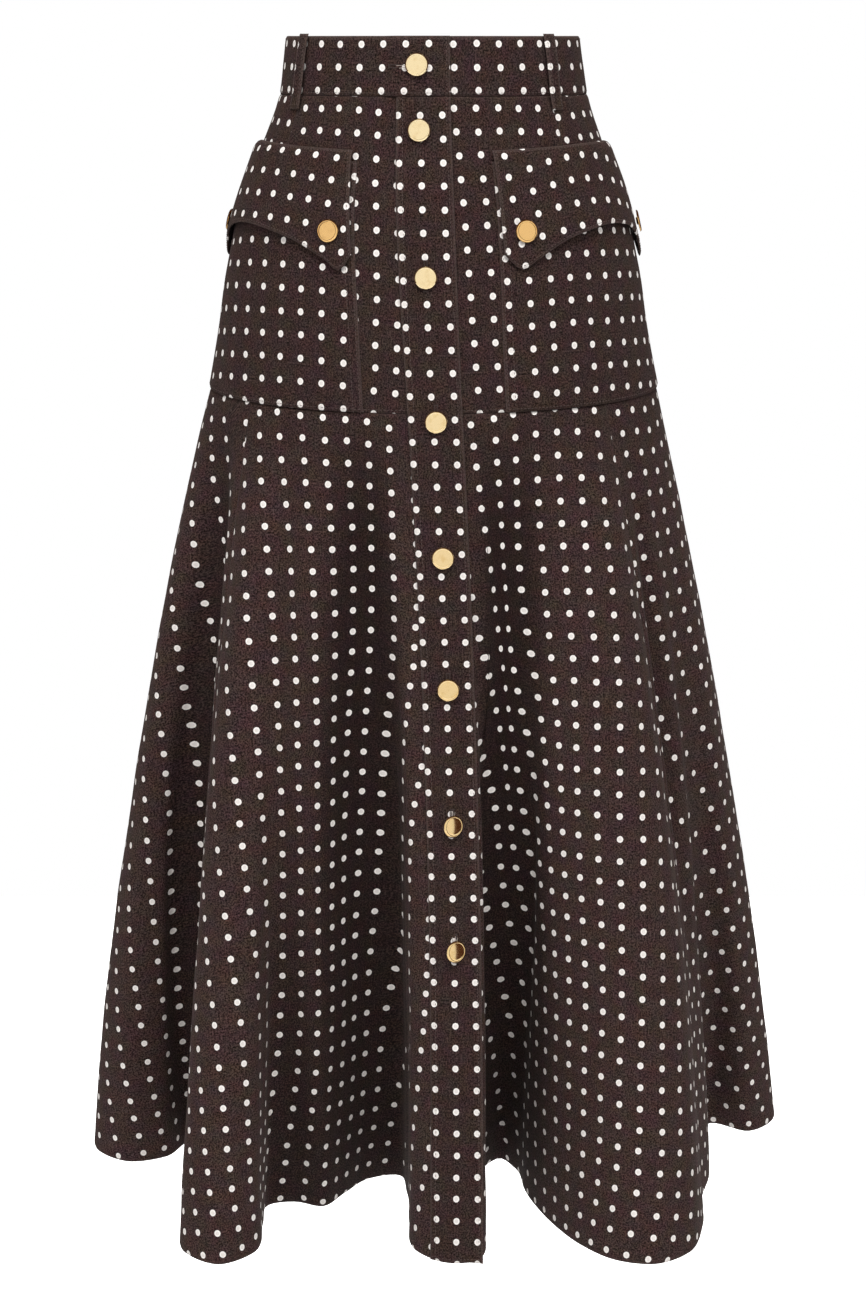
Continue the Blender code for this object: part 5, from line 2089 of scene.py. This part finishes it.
@dataclass
class Buttons:
    """Turned metal shank buttons, with a rolled rim and a plain domed face."""

    tailor: Tailor
    waistband: Waistband
    placket: Placket
    pockets: CargoPockets
    radius: float = 9.0 * MM
    thickness: float = 3.2 * MM
    rim: float = 1.4 * MM
    seat: float = 0.5 * MM
    fall: float = 1.4 * MM
    steps: int = 48
    flap_z: float = -12.5 * CM

    def profile(self, flat: bool) -> list[tuple[float, float]]:
        """The button's section, from the middle of its face to the middle of its back.

        Args:
            flat: Whether its face is flat, as on the flaps.

        Returns:
            Radius and height of each point.
        """
        radius, high, rim, face = self.radius, self.thickness, self.rim, 0.78
        crown = 0.10 * MM if flat else 0.42 * MM
        low, dome = high - 0.42 * MM, np.linspace(0, face, 8)
        return [
            *[(radius * share, low + crown * (1 - (share / face) ** 2)) for share in dome],
            *[(radius * share, high - below * MM) for share, below in BEAD],
            (radius, high * 0.46),
            *[(radius * share, rim * height) for share, height in BACK],
            (radius * 0.32, 0.1 * MM),
            (radius * 0.28, 0.0),
            (0.0, 0.0),
        ]

    def mesh(self, flat: bool) -> bpy.types.Mesh:
        """The turned button, its back at z = 0.

        Args:
            flat: Whether its face is flat.

        Returns:
            The mesh.
        """
        shape = bmesh.new()
        points = [shape.verts.new((radius, 0.0, height)) for radius, height in self.profile(flat)]
        edges = [shape.edges.new(pair) for pair in zip(points, points[1:])]
        turn = {"cent": (0, 0, 0), "axis": (0, 0, 1), "angle": 2 * math.pi, "steps": self.steps}
        bmesh.ops.spin(shape, geom=points + edges, use_merge=True, **turn)
        bmesh.ops.remove_doubles(shape, verts=shape.verts[:], dist=1e-6)
        bmesh.ops.recalc_face_normals(shape, faces=shape.faces[:])
        for face in shape.faces:
            face.smooth = True
        mesh = bpy.data.meshes.new("button")
        shape.to_mesh(mesh)
        shape.free()
        mesh.set_sharp_from_angle(angle=math.radians(50))
        return mesh

    def place(self, name: str, point: Array, normal: Array, turn_deg: float, flat: bool) -> None:
        """Sets a button on the cloth.

        Args:
            name: The solid that it stands for.
            point: Where its back rests.
            normal: The cloth's outward direction there.
            turn_deg: How far it has turned about the upright.
            flat: Whether its face is flat.
        """
        outward = Vector(normal).normalized()
        lean = math.radians(turn_deg)
        facing = Matrix.Rotation(lean, 3, "Z") @ outward
        stand = self.seat
        if turn_deg:
            stand += self.radius * math.sin(lean) - self.rim * math.cos(lean) - self.fall
        mesh = self.mesh(flat)
        turn = facing.to_track_quat("Z", "Y").to_matrix().to_4x4()
        mesh.transform(Matrix.Translation(Vector(point) + outward * stand) @ turn)
        metal = self.tailor.finishes.copper if flat else self.tailor.finishes.brass
        self.tailor.keep(add_object(name + "_metal", mesh, metal), "brass", name)

    def build(self) -> None:
        """Eight buttons down the placket, and two on each flap."""
        threads = []
        for number, button in enumerate(FRONT_BUTTONS, 1):
            carrier = self.waistband if button.z * CM > BAND_BOTTOM else self.placket
            point, normal = carrier.place(button.z * CM, button.aside * CM)
            self.place(f"button_{number}", point, normal, button.turn_deg, False)
            if button.turn_deg:
                threads += self.shank_threads(point, normal)
            elif number == 1:
                threads += self.loose_threads(point, normal)
        for word, side in POCKET_SIDES.items():
            for end, share in (("front", side.button_share), ("back", 1 - side.button_share)):
                ends = np.array([share, share]), np.array([0.0, 1.0])
                top, bottom = self.pockets.flap_place(*ends, word)[1]
                down = (self.flap_z - top) / (bottom - top)
                place = self.pockets.flap_grid(word, share, down)
                self.place(f"flap_button_{word}_{end}", *place, 0.0, True)
        thread = self.tailor.finishes.button_thread
        self.tailor.sew("button_shank_threads", threads, thread, SHANK_THREAD)

    @staticmethod
    def loose_threads(point: Array, normal: Array) -> list[Path]:
        """The two thread ends that lie out of the top button's side.

        Args:
            point: Where the button is sewn on.
            normal: The cloth's outward direction there.

        Returns:
            The threads' lines.
        """
        ends = (((-5.0, 0, -0.2), (-15.2, 0, -0.7)), ((-5.0, 0, -1.6), (-13.0, 0, -2.6)))
        return [bowed_thread(point, normal, start, tip, 0.5, 0.5) for start, tip in ends]

    @staticmethod
    def shank_threads(point: Array, normal: Array) -> list[Path]:
        """The loops of thread that hold a turned button, with loose tips above it.

        Args:
            point: Where the button is sewn on.
            normal: The cloth's outward direction there.

        Returns:
            The threads' lines.
        """
        tips = ((-2.2, 0, 11.2), (0.2, 0, 12.0), (2.0, 0, 10.8))
        return [bowed_thread(point, normal, (tip[0] * 0.4, 0, 0.5), tip, 1.5, 0.2) for tip in tips]


def bowed_thread(
    point: Array, normal: Array, start: tuple, tip: tuple, bow_mm: float, off_mm: float
) -> Path:
    """A thread that stands off the cloth in a bow.

    Args:
        point: Where the button is sewn on.
        normal: The cloth's outward direction there.
        start: Where the thread comes out, from the point, in millimetres.
        tip: Where it ends.
        bow_mm: How far its middle stands off.
        off_mm: How far its ends stand off.

    Returns:
        Its line.
    """
    rise = np.linspace(0, 1, 7)[:, None]
    first, last = (point + np.array(end) * MM for end in (start, tip))
    off = bow_mm * MM * np.sin(math.pi * rise) + off_mm * MM
    return Path.facing(first + (last - first) * rise + normal * off, normal)


# Each light's name, its angle from the front and its height above the skirt's middle, both in
# degrees, and its power in watts.
LIGHTS = (
    ("over the front", 0.0, 58.0, 205.0),
    ("left of the front", -48.0, 24.0, 56.0),
    ("right of the front", 48.0, 24.0, 54.0),
    ("left side", -80.0, 15.0, 34.0),
    ("right side", 80.0, 15.0, 31.0),
    ("behind", 180.0, 38.0, 95.0),
)
WHITE = (1.0, 1.0, 1.0, 1.0)


@dataclass
class Studio:
    """A pale floor, soft light and the camera."""

    camera_back: float = 2.08
    camera_up: float = 0.0225
    pitch_deg: float = 13.65
    lens: float = 70.0
    floor_z: float = -1.75
    floor_half: float = 3.0
    light_size: float = 2.4
    light_away: float = 4.27
    light_aim: float = -0.45

    def build(self) -> None:
        """Builds the floor, the lights and the camera."""
        self.floor()
        self.world()
        for row in LIGHTS:
            self.light(*row)
        data = bpy.data.cameras.new("camera")
        data.lens = self.lens
        data.sensor_width = 36.0
        data.clip_end = 50.0
        camera = bpy.data.objects.new("camera", data)
        camera.location = (0.0, -self.camera_back, self.camera_up)
        camera.rotation_euler = (math.radians(90 - self.pitch_deg), 0.0, 0.0)
        bpy.context.scene.collection.objects.link(camera)
        bpy.context.scene.camera = camera
        bpy.context.scene.view_settings.view_transform = "Standard"

    def floor(self) -> None:
        """A large pale floor well below the hem, which the camera sees as white."""
        half = self.floor_half
        mesh = bpy.data.meshes.new("floor")
        corners = [(-half, -half), (half, -half), (half, half), (-half, half)]
        mesh.from_pydata([(x, y, self.floor_z) for x, y in corners], [], [(0, 1, 2, 3)])
        made = Surface("pale_floor")
        tone = made.ramp(made.noise(made.place, 3.0), 0.2, 0.8, 0.86, 0.90)
        made.shade(
            Base_Color=made.joined(tone, tone, tone, kind="ShaderNodeCombineColor"),
            Roughness=0.9,
            Emission_Color=WHITE,
            Emission_Strength=made.node("ShaderNodeLightPath")["Is Camera Ray"],
        )
        add_object("floor", mesh, made.material)

    @staticmethod
    def world() -> None:
        """White all round to the camera, and a broad bright panel in front for the cloth."""
        world = bpy.data.worlds.new("studio")
        world.use_nodes = True
        made = Tree(world.node_tree)
        rays = made.node("ShaderNodeLightPath")
        camera, glossy = rays["Is Camera Ray"], rays["Is Glossy Ray"]
        ahead = made.node("ShaderNodeTexCoord")["Generated"].parts()[1] * -1.0
        gloss = glossy * made.ramp(ahead, 0.425, 0.445, 0.0, 0.80)
        panel = made.ramp(ahead, 0.30, 0.60, 0.10, 0.20) + gloss
        aside = glossy * made.ramp(ahead, 0.425, 0.445, 1.0, 0.0)
        color = made.blend(aside, WHITE, (0.85, 0.40, 0.30, 1.0))
        feeds = {"Color": color, "Strength": made.math("MAXIMUM", panel, camera)}
        made.feed(world.node_tree.nodes["Background"], feeds)
        bpy.context.scene.world = world

    def light(self, name: str, azimuth: float, elevation: float, power: float) -> None:
        """A large soft light that faces the skirt.

        Args:
            name: Its name.
            azimuth: Its angle from the front, positive to the right, in degrees.
            elevation: Its angle above the skirt's middle, in degrees.
            power: Its power in watts.
        """
        data = bpy.data.lights.new(name, "AREA")
        data.size = self.light_size
        data.energy = power
        obj = bpy.data.objects.new(name, data)
        turn = Matrix.Rotation(math.radians(azimuth), 3, "Z")
        turn = turn @ Matrix.Rotation(math.radians(-elevation), 3, "X")
        away = turn @ Vector((0.0, -self.light_away, 0.0))
        obj.location = away + Vector((0.0, 0.0, self.light_aim))
        obj.rotation_euler = (-away).to_track_quat("-Z", "Y").to_euler()
        obj.visible_glossy = False
        bpy.context.scene.collection.objects.link(obj)


def main() -> None:
    """Builds the skirt's sub-assemblies in order, then the studio."""
    logging.basicConfig(level=logging.INFO, format="%(name)s: %(message)s")
    body = BodyForm()
    tailor = Tailor(body, LowerForm(body), Finishes(), Stitcher())
    waistband = Waistband(tailor)
    panels = Panels(tailor)
    placket = Placket(tailor, panels)
    pockets = CargoPockets(tailor, panels)
    for assembly in (waistband, panels, placket, pockets, BeltLoops(tailor)):
        assembly.build()
    Buttons(tailor, waistband, placket, pockets).build()
    Studio().build()


if __name__ == "__main__":
    main()
